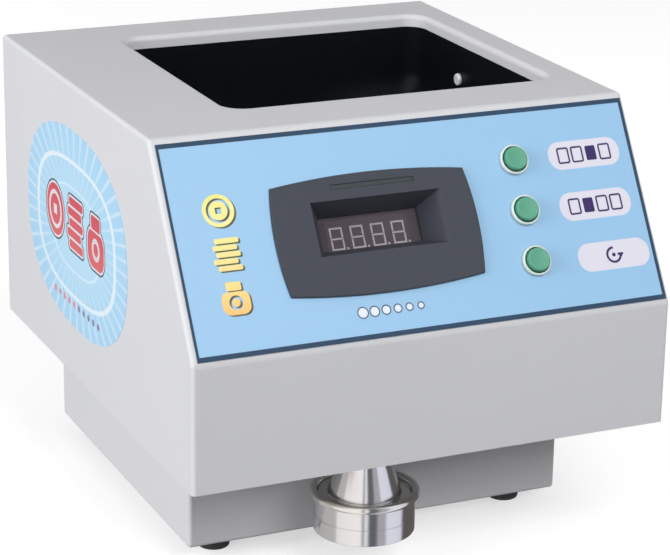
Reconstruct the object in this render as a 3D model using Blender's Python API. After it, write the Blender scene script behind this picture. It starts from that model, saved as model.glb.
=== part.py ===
"""Desktop coin counter: coins poured into the hopper spin on a disc, pass a sensor and drop into a bag.

Metres, +Z up. The origin is on the floor at the middle of the footprint, and the display faces -Y.
"""

import math

import bmesh
import bpy
from mathutils import Matrix, Vector

# ---- Driving dimensions ----
GAP = 0.0003                      # air left between pieces that touch
WALL = 0.002                      # sheet thickness of cover, deck and base

FOOT_HEIGHT = 0.010
BASE_HEIGHT = 0.0695
HOUSING_WIDTH = 0.300
HOUSING_DEPTH = 0.340
HOUSING_HEIGHT = 0.186
BEND_HEIGHT = 0.076               # height of the upright part of the front
SETBACK = 0.068                   # how far the sloping panel leans back
EDGE_RADIUS = 0.0025

BASE_WIDTH = 0.245
BASE_DEPTH = 0.234
BASE_OFFSET = 0.078               # from the housing's front to the base's front

HOPPER_CENTRE = (0.023, 0.0377)   # also the axis of the counting disc
HOPPER_WIDTH = 0.212
HOPPER_LENGTH = 0.1886
HOPPER_CORNER = 0.013
LIP_DEPTH = 0.008
LIP_THICKNESS = 0.004
LIP_RADIUS = 0.003

SPOUT_X = -0.0257
SPOUT_FROM_FRONT = 0.042

# Positions on the sloping panel: across from its middle, and up the slope from the bend.
DISPLAY_AT = (-0.0254, 0.0622)
BEZEL_WIDTH = 0.1201
BEZEL_HEIGHT = 0.0630
BEZEL_BULGE = 0.0034
BEZEL_RISE = 0.0020
RECESS_DEPTH = 0.0155
RECESS_SHIFT = (0.0020, 0.0048)
RECESS_MOUTH = (0.0802, 0.0316)
RECESS_FLOOR = (0.0624, 0.0202)
MODULE_SHIFT = (0.0013, 0.0041)
BEZEL_BODY = (0.085, 0.044)
BUTTONS_ACROSS = 0.0688
BUTTONS_UP = (0.0949, 0.0644, 0.0339)
BUTTON_TRAVEL = 0.003
LABEL_THICKNESS = 0.0004
LABEL_LOW = (-0.1463, 0.0018)       # lower left and upper right corners on the panel
LABEL_HIGH = (0.1478, 0.1258)

DISC_RADIUS = 0.089
DISC_TOP = 0.152
SHAFT_RADIUS = 0.005
BORE_RADIUS = SHAFT_RADIUS + GAP
MOTOR_AT = (-0.095, 0.075)
PULLEY_RADIUS = 0.038
MOTOR_PULLEY_RADIUS = 0.012
BELT_WIDTH = 0.008
BELT_THICKNESS = 0.002
BELT_HEIGHT = 0.064               # of the belt's middle, above the floor

# ---- Sizes that follow from them ----
HOUSING_BOTTOM = FOOT_HEIGHT + BASE_HEIGHT
HOUSING_TOP = HOUSING_BOTTOM + HOUSING_HEIGHT
BEND = HOUSING_BOTTOM + BEND_HEIGHT
FRONT = -HOUSING_DEPTH / 2
BACK = HOUSING_DEPTH / 2
BASE_FRONT = FRONT + BASE_OFFSET
BASE_BACK = BASE_FRONT + BASE_DEPTH
LEAN = math.atan2(SETBACK, HOUSING_HEIGHT - BEND_HEIGHT)
SLOPE_LENGTH = math.hypot(SETBACK, HOUSING_HEIGHT - BEND_HEIGHT)
DECK_BOTTOM = HOUSING_BOTTOM + GAP
DECK_TOP = DECK_BOTTOM + WALL
SPOUT_AT = (SPOUT_X, FRONT + SPOUT_FROM_FRONT)
LABEL_TOP = GAP + LABEL_THICKNESS
ON_LABEL = LABEL_TOP + GAP
BED_BOTTOM = DISC_TOP - 0.004
BED_TOP = DISC_TOP + 0.004
BED_HALF = 0.100
TRACK_HALF = 0.017                # half the clear width of the coin track
FLOOR_OF_TRACK = DISC_TOP + GAP


# ---- Shape makers ----
def block(low, high):
    """A box between two opposite corners."""
    shape = bmesh.new()
    size = Vector(high) - Vector(low)
    middle = (Vector(high) + Vector(low)) / 2
    bmesh.ops.create_cube(shape, size=1.0, matrix=Matrix.Translation(middle) @ Matrix.Diagonal(size.to_4d()))
    return shape


def rod(radius, start, end, steps=24):
    """A round bar between two points."""
    shape = bmesh.new()
    along = Vector(end) - Vector(start)
    turn = along.to_track_quat("Z", "Y").to_matrix().to_4x4()
    where = Matrix.Translation((Vector(start) + Vector(end)) / 2) @ turn
    bmesh.ops.create_cone(shape, cap_ends=True, segments=steps, radius1=radius, radius2=radius,
                          depth=along.length, matrix=where)
    return shape


def turned(profile, steps=40):
    """A closed (radius, height) outline spun about the Z axis."""
    shape = bmesh.new()
    points = [shape.verts.new((radius, 0, height)) for radius, height in profile]
    edges = [shape.edges.new(pair) for pair in zip(points, points[1:] + points[:1])]
    bmesh.ops.spin(shape, geom=points + edges, cent=(0, 0, 0), axis=(0, 0, 1), angle=2 * math.pi,
                   steps=steps, use_merge=True)
    bmesh.ops.remove_doubles(shape, verts=shape.verts, dist=1e-6)
    bmesh.ops.dissolve_degenerate(shape, edges=shape.edges, dist=1e-6)
    return shape


def prism(outline, low, high, axis="Z"):
    """An outline pushed out from low to high along an axis. Along X, the outline is (y, z)."""
    shape = bmesh.new()
    if axis == "X":
        face = shape.faces.new([shape.verts.new((low, across, up)) for across, up in outline])
        way = Vector((high - low, 0, 0))
    else:
        face = shape.faces.new([shape.verts.new((across, up, low)) for across, up in outline])
        way = Vector((0, 0, high - low))
    pushed = bmesh.ops.extrude_face_region(shape, geom=[face])["geom"]
    moving = [item for item in pushed if isinstance(item, bmesh.types.BMVert)]
    bmesh.ops.translate(shape, vec=way, verts=moving)
    return shape


def loft(sections):
    """Outlines with the same number of points, each at its own height, skinned one to the next."""
    shape = bmesh.new()
    rings = [[shape.verts.new((x, y, height)) for x, y in outline] for outline, height in sections]
    for lower, upper in zip(rings, rings[1:]):
        for here in range(len(lower)):
            after = (here + 1) % len(lower)
            shape.faces.new((lower[here], lower[after], upper[after], upper[here]))
    shape.faces.new(rings[0])
    shape.faces.new(rings[-1])
    return shape


def rounded_rectangle(width, length, radius, centre=(0, 0), steps=6):
    """The outline of a rectangle with round corners, which is a circle where the radius is half of both."""
    points = []
    for corner, (side, end) in enumerate(((1, 1), (-1, 1), (-1, -1), (1, -1))):
        middle = (centre[0] + side * (width / 2 - radius), centre[1] + end * (length / 2 - radius))
        for step in range(steps):
            turn = (corner + step / (steps - 1)) * math.pi / 2
            points.append((middle[0] + radius * math.cos(turn), middle[1] + radius * math.sin(turn)))
    return points


def circle(radius, centre=(0, 0), steps=40):
    """The outline of a circle."""
    turns = [2 * math.pi * step / steps for step in range(steps)]
    return [(centre[0] + radius * math.cos(turn), centre[1] + radius * math.sin(turn)) for turn in turns]


# ---- Objects and materials ----
def material(name, colour, roughness=0.5, metallic=0.0, alpha=1.0):
    """A Principled material, made once for each name."""
    found = bpy.data.materials.get(name)
    if found:
        return found
    made = bpy.data.materials.new(name)
    made.use_nodes = True
    shader = made.node_tree.nodes["Principled BSDF"]
    shader.inputs["Base Color"].default_value = (*colour, 1)
    shader.inputs["Roughness"].default_value = roughness
    shader.inputs["Metallic"].default_value = metallic
    shader.inputs["Alpha"].default_value = alpha
    made.diffuse_color = (*colour, alpha)
    return made


def add(name, shape, look, parent=None, location=(0, 0, 0), rotation=(0, 0, 0)):
    """Turns a shape into an object with its material, in its place."""
    bmesh.ops.recalc_face_normals(shape, faces=shape.faces)
    mesh = bpy.data.meshes.new(name)
    shape.to_mesh(mesh)
    shape.free()
    if look:
        mesh.materials.append(look)
    mesh.shade_smooth()
    mesh.set_sharp_from_angle(angle=math.radians(35))
    made = bpy.data.objects.new(name, mesh)
    bpy.context.scene.collection.objects.link(made)
    made.parent = parent
    made.location = location
    made.rotation_euler = rotation
    return made


def combine(target, shape, operation):
    """Adds a Boolean with a helper object that shares the target's place."""
    helper = add(f"{target.name}_{operation.lower()}_{len(target.modifiers)}", shape, None, target.parent,
                 target.location, target.rotation_euler)
    helper.hide_render = True
    helper.display_type = "WIRE"
    modifier = target.modifiers.new(f"{operation.lower()}_{len(target.modifiers)}", "BOOLEAN")
    modifier.operation = operation
    modifier.object = helper


def cut(target, shape):
    combine(target, shape, "DIFFERENCE")


def join(target, shape):
    combine(target, shape, "UNION")


def round_edges(target, width, segments=2):
    """Rounds the edges sharper than 25 degrees."""
    bevel = target.modifiers.new("round_edges", "BEVEL")
    bevel.width = width
    bevel.segments = segments
    bevel.limit_method = "ANGLE"
    bevel.angle_limit = math.radians(25)


def frame_at(name, location, rotation=(0, 0, 0)):
    """An empty that other pieces are placed from."""
    made = bpy.data.objects.new(name, None)
    bpy.context.scene.collection.objects.link(made)
    made.location = location
    made.rotation_euler = rotation
    return made


def look(name):
    """The materials of the machine, by what they are."""
    kinds = {
        "paint": ((0.62, 0.62, 0.65), 0.45, 0.0),
        "steel": ((0.50, 0.51, 0.52), 0.35, 1.0),
        "zinc": ((0.60, 0.60, 0.58), 0.40, 1.0),
        "aluminium": ((0.78, 0.77, 0.77), 0.22, 1.0),
        "chrome": ((0.62, 0.61, 0.58), 0.15, 1.0),
        "rubber": ((0.012, 0.012, 0.012), 0.80, 0.0),
        "black_plastic": ((0.016, 0.017, 0.019), 0.45, 0.0),
        "bezel_plastic": ((0.068, 0.063, 0.085), 0.50, 0.0),
        "label": ((0.37, 0.62, 0.86), 0.40, 0.0),
        "green_plastic": ((0.12, 0.42, 0.27), 0.35, 0.0),
        "silver_plastic": ((0.60, 0.60, 0.55), 0.30, 0.3),
        "led": ((0.70, 0.70, 0.72), 0.50, 0.0),
        "board": ((0.03, 0.20, 0.08), 0.50, 0.0),
        "laminate": ((0.30, 0.28, 0.26), 0.45, 0.6),
        "window": ((0.20, 0.20, 0.24), 0.10, 0.0, 0.4),
    }
    return material(name, *kinds[name])


# ---- Casing ----
def housing_outline(inset, overrun):
    """The housing seen from its side, moved in all round by inset, and running on below by overrun."""
    below = HOUSING_BOTTOM - overrun
    return [
        (FRONT + inset, below),
        (FRONT + inset, BEND - inset * math.tan(LEAN / 2)),
        (FRONT + SETBACK + inset * (1 - math.sin(LEAN)) / math.cos(LEAN), HOUSING_TOP - inset),
        (BACK - inset, HOUSING_TOP - inset),
        (BACK - inset, below),
    ]


def cover_screw_places():
    """Where the cover is fastened down to the deck."""
    return [(side * 0.140, end * 0.150) for side in (-1, 1) for end in (-1, 1)]


def liner_sides():
    """(side, x of the hopper's side wall) for the left and the right one."""
    return [(side, HOPPER_CENTRE[0] + side * HOPPER_WIDTH / 2) for side in (-1, 1)]


def make_cover(panel):
    """One folded sheet shell, with a turned-down lip round the hopper's mouth."""
    half = HOUSING_WIDTH / 2
    cover = add("cover", prism(housing_outline(0, 0.012), -half, half, "X"), look("paint"))
    round_edges(cover, EDGE_RADIUS, 3)
    cut(cover, prism(housing_outline(WALL, 0.020), WALL - half, half - WALL, "X"))
    lip = rounded_rectangle(HOPPER_WIDTH + 2 * LIP_THICKNESS, HOPPER_LENGTH + 2 * LIP_THICKNESS,
                            HOPPER_CORNER + LIP_THICKNESS, HOPPER_CENTRE)
    join(cover, prism(lip, HOUSING_TOP - LIP_DEPTH, HOUSING_TOP - WALL / 2))
    for side, wall in liner_sides():
        inner, outer = sorted((wall + side * 0.0026, wall + side * 0.0056))
        join(cover, block((inner, 0.0585, 0.228), (outer, 0.0785, HOUSING_TOP - WALL / 2)))
    for across, along in cover_screw_places():
        inner, outer = sorted((across - math.copysign(0.006, across), math.copysign(half - WALL / 2, across)))
        join(cover, block((inner, along - 0.008, DECK_TOP + GAP), (outer, along + 0.008, DECK_TOP + 0.014)))
    cut(cover, hopper_mouth())
    for side, wall in liner_sides():
        cut(cover, rod(0.0021, (wall, 0.0685, 0.235), (wall + side * 0.008, 0.0685, 0.235), 12))
    for across, along in cover_screw_places():
        cut(cover, rod(0.0023, (across, along, DECK_TOP - 0.001), (across, along, DECK_TOP + 0.011), 12))
    cut_panel_holes(cover, panel, 0.004)
    cut(cover, block((-1, -1, HOUSING_BOTTOM - 0.1), (1, 1, HOUSING_BOTTOM)))


def hopper_mouth():
    """The opening, widening in a quarter circle at the top, so that the lip's edge comes out round."""
    sections = [(HOUSING_TOP - 0.03, 0.0)]
    for step in range(4):
        turn = step / 3 * math.pi / 2
        sections.append((HOUSING_TOP - LIP_RADIUS * (1 - math.sin(turn)), LIP_RADIUS * (1 - math.cos(turn))))
    sections.append((HOUSING_TOP + 0.01, LIP_RADIUS))
    outlines = []
    for height, spread in sections:
        outline = rounded_rectangle(HOPPER_WIDTH + 2 * spread, HOPPER_LENGTH + 2 * spread,
                                    HOPPER_CORNER + spread, HOPPER_CENTRE)
        outlines.append((outline, height))
    return loft(outlines)


def cut_panel_holes(target, panel, reach):
    """Openings for the display and the three buttons, square to the sloping panel."""
    middle = Vector((*DISPLAY_AT, 0))
    half = Vector((BEZEL_BODY[0] / 2 + 2 * GAP, BEZEL_BODY[1] / 2 + 2 * GAP, reach))
    shapes = [block(middle - half, middle + half)]
    for up in BUTTONS_UP:
        shapes.append(rod(0.0087, (BUTTONS_ACROSS, up, -reach), (BUTTONS_ACROSS, up, reach), 32))
    for shape in shapes:
        if target.parent is not panel:
            bmesh.ops.transform(shape, matrix=panel.matrix_basis, verts=shape.verts)
        cut(target, shape)


def make_deck():
    """The sheet that closes the housing below and carries the mechanism."""
    side = HOUSING_WIDTH / 2 - WALL - 2 * GAP
    end = HOUSING_DEPTH / 2 - WALL - 2 * GAP
    deck = add("deck_plate", block((-side, -end, DECK_BOTTOM), (side, end, DECK_TOP)), look("zinc"))
    holes = [(SPOUT_AT, 0.0164, 32), (HOPPER_CENTRE, 0.014, 24), (MOTOR_AT, 0.008, 20), ((0.060, -0.060), 0.009, 16)]
    holes += [(place, 0.0023, 12) for place in cover_screw_places()]
    for (across, along), radius, steps in holes:
        cut(deck, rod(radius, (across, along, DECK_BOTTOM - 0.005), (across, along, DECK_TOP + 0.005), steps))


def make_cover_screws():
    """Pan-head screws, driven from below where the housing overhangs the base."""
    for number, (across, along) in enumerate(cover_screw_places(), 1):
        profile = [(0, -0.0024), (0.0030, -0.0024), (0.0042, -0.0014), (0.0042, 0), (0.0020, 0),
                   (0.0020, 0.0115), (0, 0.0115)]
        add(f"cover_screw_{number}", turned(profile, 16), look("zinc"),
            location=(across, along, DECK_BOTTOM - GAP))


def make_base():
    """The lower box. It's open at the top, and its back carries the power fittings."""
    half = BASE_WIDTH / 2
    low = (-half, BASE_FRONT, FOOT_HEIGHT)
    high = (half, BASE_BACK, HOUSING_BOTTOM + 0.010)
    base = add("base_pan", block(low, high), look("paint"))
    round_edges(base, EDGE_RADIUS, 3)
    cut(base, block((-1, -1, HOUSING_BOTTOM), (1, 1, HOUSING_BOTTOM + 0.1)))
    cut(base, block((WALL - half, BASE_FRONT + WALL, FOOT_HEIGHT + WALL),
                    (half - WALL, BASE_BACK - WALL, HOUSING_BOTTOM + 0.05)))
    wall = (BASE_BACK - 0.010, BASE_BACK + 0.010)
    cut(base, block((INLET_AT[0] - 0.0139, wall[0], INLET_AT[1] - 0.0102),
                    (INLET_AT[0] + 0.0139, wall[1], INLET_AT[1] + 0.0102)))
    cut(base, block((SWITCH_AT[0] - 0.0109, wall[0], SWITCH_AT[1] - 0.0139),
                    (SWITCH_AT[0] + 0.0109, wall[1], SWITCH_AT[1] + 0.0139)))
    cut(base, rod(0.0066, (FUSE_AT[0], wall[0], FUSE_AT[1]), (FUSE_AT[0], wall[1], FUSE_AT[1]), 24))
    for slot in range(6):
        left = -0.100 + slot * 0.011
        cut(base, block((left, wall[0], 0.030), (left + 0.004, wall[1], 0.062)))


def make_feet():
    """Four soft round feet under the base."""
    profile = [(0, 0), (0.0096, 0), (0.0104, 0.0008), (0.0108, FOOT_HEIGHT - GAP), (0, FOOT_HEIGHT - GAP)]
    for end, along in (("front", BASE_FRONT + 0.022), ("rear", BASE_BACK - 0.022)):
        for side, across in (("left", -0.098), ("right", 0.098)):
            add(f"foot_{end}_{side}", turned(profile, 24), look("rubber"), location=(across, along, 0))


# ---- Display panel ----
def make_panel_frame():
    """X runs across the sloping panel, Y up it and Z straight out of it."""
    return frame_at("panel_frame", (0, FRONT, BEND), (math.pi / 2 - LEAN, 0, 0))


def make_front_label(panel):
    """The printed film over the whole sloping panel."""
    corners = (*LABEL_LOW, GAP), (*LABEL_HIGH, LABEL_TOP)
    label = add("front_label", block(*corners), look("label"), panel)
    cut_panel_holes(label, panel, 0.003)


def bulged_outline(width, height, bulge, steps=8):
    """A rectangle whose four sides bow outwards by bulge, as circular arcs."""
    points = []
    for side in range(4):
        span, reach = ((width, height), (height, width))[side % 2]
        radius = (span * span / 4 + bulge * bulge) / (2 * bulge)
        sweep = math.asin(span / 2 / radius)
        for step in range(steps):
            turn = sweep * (1 - 2 * step / steps)
            along = radius * math.sin(turn)
            out = reach / 2 + radius * (math.cos(turn) - math.cos(sweep))
            quarter = math.pi / 2 * side
            points.append((along * math.cos(quarter) - out * math.sin(quarter),
                           along * math.sin(quarter) + out * math.cos(quarter)))
    return points


def rectangle(width, height, centre=(0, 0)):
    """The outline of a plain rectangle."""
    return [(centre[0] + side * width / 2, centre[1] + end * height / 2)
            for side, end in ((-1, -1), (1, -1), (1, 1), (-1, 1))]


def make_display(panel):
    """Bezel with a funnel-shaped recess, smoked window, digit module and its board, from front to back."""
    face = ON_LABEL + BEZEL_RISE
    floor = face - RECESS_DEPTH
    back = floor - 0.0105
    place = (*DISPLAY_AT, 0)
    outline = bulged_outline(BEZEL_WIDTH, BEZEL_HEIGHT, BEZEL_BULGE)
    bezel = add("display_bezel", prism(outline, ON_LABEL, face), look("bezel_plastic"), panel, place)
    round_edges(bezel, 0.0005, 1)
    join(bezel, prism(rectangle(*BEZEL_BODY), back, ON_LABEL + 0.001))
    slope = [(mouth - end) / RECESS_DEPTH for mouth, end in zip(RECESS_MOUTH, RECESS_FLOOR)]
    over = 0.002
    mouth = rectangle(RECESS_MOUTH[0] + slope[0] * over, RECESS_MOUTH[1] + slope[1] * over, RECESS_SHIFT)
    opening = rectangle(*RECESS_FLOOR, RECESS_SHIFT)
    cut(bezel, loft([(opening, floor), (mouth, face + over)]))
    cut(bezel, prism(opening, floor - 0.004, floor + 0.001))
    cut(bezel, prism(rectangle(0.0685, 0.0270, RECESS_SHIFT), back - 0.002, floor - 0.0012))
    add("display_window", prism(rectangle(0.0679, 0.0264, RECESS_SHIFT), floor - 0.0034, floor - 0.0015),
        look("window"), panel, place)
    add("led_module", prism(rectangle(0.0503, 0.019, MODULE_SHIFT), back + 0.0001, floor - 0.0037),
        look("led"), panel, place)
    add("display_board", prism(rectangle(0.090, 0.050), back - 0.0019, back - GAP), look("board"), panel, place)


def make_buttons(panel):
    """Three push buttons: a body held by a nut behind the panel, and a cap that travels into it."""
    body = [(0, -0.020), (0.0084, -0.020), (0.0084, ON_LABEL), (0.0090, ON_LABEL), (0.0090, ON_LABEL + 0.0014),
            (0.0085, ON_LABEL + 0.0022), (0.0078, ON_LABEL + 0.0022), (0.0078, -0.007), (0, -0.007)]
    cap = [(0, -0.0032), (0.0075, -0.0032), (0.0075, ON_LABEL), (0.0069, ON_LABEL + 0.0006),
           (0.0069, ON_LABEL + 0.0042), (0.0063, ON_LABEL + 0.0050), (0, ON_LABEL + 0.0050)]
    for number, up in enumerate(BUTTONS_UP, 1):
        place = (BUTTONS_ACROSS, up, 0)
        add(f"button_body_{number}", turned(body, 24), look("silver_plastic"), panel, place)
        add(f"button_cap_{number}", turned(cap, 24), look("green_plastic"), panel, place)
        nut = add(f"button_nut_{number}", prism(circle(0.0128, steps=6), -0.0055, -WALL - GAP),
                  look("zinc"), panel, place)
        cut(nut, prism(circle(0.0087, steps=32), -0.008, 0.001))


# ---- Spout and bag ring ----
def make_spout():
    """The turned outlet. Its flange sits under the deck and its neck goes up through to the nut."""
    heights = {"top": 0.012, "flange": -GAP, "under": -0.004, "neck": -0.015, "cone": -0.033,
               "boss": -0.0353, "foot": -0.0558}
    outer = [(0.016, heights["top"]), (0.016, heights["flange"]), (0.021, heights["flange"]),
             (0.021, heights["under"]), (0.016, heights["under"]), (0.016, heights["neck"]),
             (0.022, heights["cone"]), (0.0273, heights["cone"]), (0.0273, heights["boss"]),
             (0.0296, heights["boss"]), (0.0300, heights["boss"] - 0.0004), (0.0300, heights["foot"] + 0.0004),
             (0.0296, heights["foot"])]
    inner = [(0.0270, heights["foot"]), (0.0270, -0.040), (0.0190, -0.036), (0.0140, -0.020),
             (0.0140, heights["top"])]
    add("coin_spout", turned(outer + inner, 40), look("aluminium"), location=(*SPOUT_AT, HOUSING_BOTTOM))
    nut = [(0.0163, DECK_TOP + GAP), (0.024, DECK_TOP + GAP), (0.024, DECK_TOP + 0.008), (0.0163, DECK_TOP + 0.008)]
    add("spout_nut", turned(nut, 32), look("aluminium"), location=(*SPOUT_AT, 0))


def make_bag_ring():
    """A loose round-bar ring. It rests on the spout's shoulder and clamps the mouth of the bag."""
    bar = circle(0.0025, (0.0303, 0), 8)
    height = HOUSING_BOTTOM - 0.0353 + 0.0025 + GAP
    add("bag_ring", turned(bar, 40), look("chrome"), location=(*SPOUT_AT, height))


# ---- Hopper, disc and drive ----
def liner_sections(thickness):
    """The hopper's inside as (outline, height) from bottom to top: a round well opening to the mouth."""
    top = HOUSING_TOP - LIP_DEPTH - GAP
    well = 2 * (DISC_RADIUS + 0.003 + thickness)
    width = HOPPER_WIDTH + 2 * (GAP + thickness)
    length = HOPPER_LENGTH + 2 * (GAP + thickness)
    round_part = rounded_rectangle(well, well, well / 2, HOPPER_CENTRE, 10)
    mouth = rounded_rectangle(width, length, HOPPER_CORNER + thickness, HOPPER_CENTRE, 10)
    return [(round_part, BED_TOP + GAP), (round_part, 0.174), (mouth, 0.222), (mouth, top)]


def make_liner():
    """The black bowl that holds the coins, screwed to the two tabs of the cover's lip."""
    liner = add("hopper_liner", loft(liner_sections(WALL)), look("black_plastic"))
    inside = liner_sections(0)
    inside[0] = (inside[0][0], inside[0][1] - 0.005)
    inside[-1] = (inside[-1][0], inside[-1][1] + 0.005)
    cut(liner, loft(inside))
    for number, (side, wall) in enumerate(liner_sides(), 1):
        cut(liner, rod(0.0021, (wall - side * 0.004, 0.0685, 0.235), (wall + side * 0.006, 0.0685, 0.235), 12))
        profile = [(0, -0.0022), (0.0026, -0.0022), (0.0040, -0.0010), (0.0040, 0), (0.0018, 0),
                   (0.0018, 0.009), (0, 0.009)]
        add(f"liner_screw_{number}", turned(profile, 16), look("steel"), location=(wall, 0.0685, 0.235),
            rotation=(0, side * math.pi / 2, 0))


def make_bed():
    """The plate round the disc, with the track that the coins leave by, on four pillars."""
    low = (HOPPER_CENTRE[0] - BED_HALF, HOPPER_CENTRE[1] - BED_HALF, BED_BOTTOM)
    high = (HOPPER_CENTRE[0] + BED_HALF, HOPPER_CENTRE[1] + BED_HALF, BED_TOP)
    bed = add("coin_bed", block(low, high), look("aluminium"))
    cut(bed, prism(circle(DISC_RADIUS + 0.0008, HOPPER_CENTRE, 48), BED_BOTTOM - 0.01, BED_TOP + 0.01))
    cut(bed, block((SPOUT_X - TRACK_HALF, low[1] - 0.01, FLOOR_OF_TRACK),
                   (SPOUT_X + TRACK_HALF, HOPPER_CENTRE[1] - 0.03, BED_TOP + 0.01)))
    cut(bed, rod(0.0022, (*GUIDE_AT, BED_TOP - 0.006), (*GUIDE_AT, BED_TOP + 0.01), 12))
    for number, (side, end) in enumerate(((-1, -1), (1, -1), (-1, 1), (1, 1)), 1):
        place = (HOPPER_CENTRE[0] + side * 0.088, HOPPER_CENTRE[1] + end * 0.088, 0)
        add(f"bed_pillar_{number}", rod(0.006, (0, 0, DECK_TOP + GAP), (0, 0, BED_BOTTOM - GAP), 16),
            look("steel"), location=place)


def make_disc_and_shaft():
    """The spinning disc, the cone that sheds coins off its middle, the shaft, its bearings and pulley."""
    axis = (*HOPPER_CENTRE, 0)
    under = DISC_TOP - 0.005
    disc = [(BORE_RADIUS, DISC_TOP), (BORE_RADIUS, under - 0.008), (0.012, under - 0.008), (0.012, under),
            (DISC_RADIUS, under), (DISC_RADIUS, DISC_TOP - 0.0006), (DISC_RADIUS - 0.0006, DISC_TOP)]
    add("counting_disc", turned(disc, 48), look("steel"), location=axis)
    foot = DISC_TOP + GAP
    cone = [(BORE_RADIUS, foot), (0.026, foot), (0.026, foot + 0.0015), (0.010, foot + 0.012),
            (0.006, foot + 0.0165), (0, foot + 0.0175), (0, foot + 0.0085), (BORE_RADIUS, foot + 0.0085)]
    add("disc_cone", turned(cone, 32), look("aluminium"), location=axis)
    add("disc_shaft", rod(SHAFT_RADIUS, (0, 0, 0.052), (0, 0, 0.160), 20), look("steel"), location=axis)
    foot = DECK_TOP + GAP
    top = DISC_TOP - 0.0145
    seat = 0.0133
    housing = [(seat, foot), (0.030, foot), (0.030, foot + 0.005), (0.019, foot + 0.005), (0.019, top),
               (seat, top), (seat, top - 0.0086), (0.008, top - 0.0086), (0.008, foot + 0.0086),
               (seat, foot + 0.0086)]
    add("bearing_housing", turned(housing, 28), look("aluminium"), location=axis)
    for name, low in (("lower_bearing", foot), ("upper_bearing", top - 0.008)):
        ring = [(BORE_RADIUS, low), (0.013, low), (0.013, low + 0.008), (BORE_RADIUS, low + 0.008)]
        add(name, turned(ring, 24), look("steel"), location=axis)
    add("driven_pulley", turned(pulley_profile(PULLEY_RADIUS, BORE_RADIUS), 40), look("aluminium"), location=axis)


def pulley_profile(radius, bore):
    """A flat belt pulley with a rim on each side of the belt."""
    middle = BELT_HEIGHT
    half = BELT_WIDTH / 2 + GAP
    rim = radius + 0.002
    return [(bore, middle - half - 0.0015), (rim, middle - half - 0.0015), (rim, middle - half),
            (radius, middle - half), (radius, middle + half), (rim, middle + half),
            (rim, middle + half + 0.0015), (bore, middle + half + 0.0015)]


def belt_outline(offset):
    """The loop round both pulleys, at a distance outside their running surfaces."""
    between = Vector(MOTOR_AT) - Vector(HOPPER_CENTRE)
    heading = math.atan2(between.y, between.x)
    small = MOTOR_PULLEY_RADIUS + offset
    large = PULLEY_RADIUS + offset
    wrap = math.acos((large - small) / between.length)
    points = []
    for centre, radius, first, last, steps in ((HOPPER_CENTRE, large, wrap, 2 * math.pi - wrap, 24),
                                               (MOTOR_AT, small, -wrap, wrap, 12)):
        for step in range(steps + 1):
            turn = heading + first + (last - first) * step / steps
            points.append((centre[0] + radius * math.cos(turn), centre[1] + radius * math.sin(turn)))
    return points


def make_motor_and_belt():
    """The motor stands on the deck, and its shaft reaches down through to the belt."""
    low = BELT_HEIGHT - BELT_WIDTH / 2
    high = BELT_HEIGHT + BELT_WIDTH / 2
    belt = add("drive_belt", prism(belt_outline(GAP + BELT_THICKNESS), low, high), look("rubber"))
    cut(belt, prism(belt_outline(GAP), low - 0.005, high + 0.005))
    axis = (*MOTOR_AT, 0)
    foot = DECK_TOP + GAP
    motor = [(0.0043, foot), (0.034, foot), (0.034, foot + 0.003), (0.030, foot + 0.003), (0.030, 0.136),
             (0.027, 0.1395), (0, 0.1395), (0, 0.100), (0.0043, 0.100)]
    add("drive_motor", turned(motor, 36), look("steel"), location=axis)
    add("motor_shaft", rod(0.004, (0, 0, 0.055), (0, 0, 0.098), 16), look("steel"), location=axis)
    add("motor_pulley", turned(pulley_profile(MOTOR_PULLEY_RADIUS, 0.004 + GAP), 24), look("aluminium"),
        location=axis)


# ---- Coin track ----
GUIDE_AT = (-0.058, -0.026)
GUIDE_FINGER = (0.022, -0.028)    # from the pivot to the finger
STOP_AT = (-0.105, 0.1266)        # (y, z) of the plunger


def make_chute():
    """An open trough that slopes from the bed down to a drop over the spout."""
    start = HOPPER_CENTRE[1] - BED_HALF - GAP
    outside = [(start, BED_BOTTOM), (start, 0.166), (-0.146, 0.134), (-0.146, DECK_TOP + 0.0105),
               (-0.112, DECK_TOP + 0.0105), (-0.112, 0.112)]
    inside = [(start + 0.01, FLOOR_OF_TRACK + 0.0065), (start + 0.01, 0.19), (-0.144, 0.19), (-0.144, 0.08),
              (-0.114, 0.08), (-0.114, 0.1155)]
    shell = TRACK_HALF + WALL
    chute = add("coin_chute", prism(outside, SPOUT_X - shell, SPOUT_X + shell, "X"), look("steel"))
    cut(chute, prism(inside, SPOUT_X - TRACK_HALF, SPOUT_X + TRACK_HALF, "X"))
    cut(chute, rod(0.0036, (SPOUT_X, *STOP_AT), (SPOUT_X + 0.03, *STOP_AT), 16))


def make_sensor():
    """A forked light barrier that straddles the chute."""
    arm = TRACK_HALF + WALL + GAP
    sensor = add("count_sensor", block((SPOUT_X - arm - 0.008, -0.092, 0.124), (SPOUT_X + arm + 0.008, -0.080, 0.172)),
                 look("black_plastic"))
    cut(sensor, block((SPOUT_X - arm, -0.1, 0.11), (SPOUT_X + arm, -0.07, 0.161)))


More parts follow.
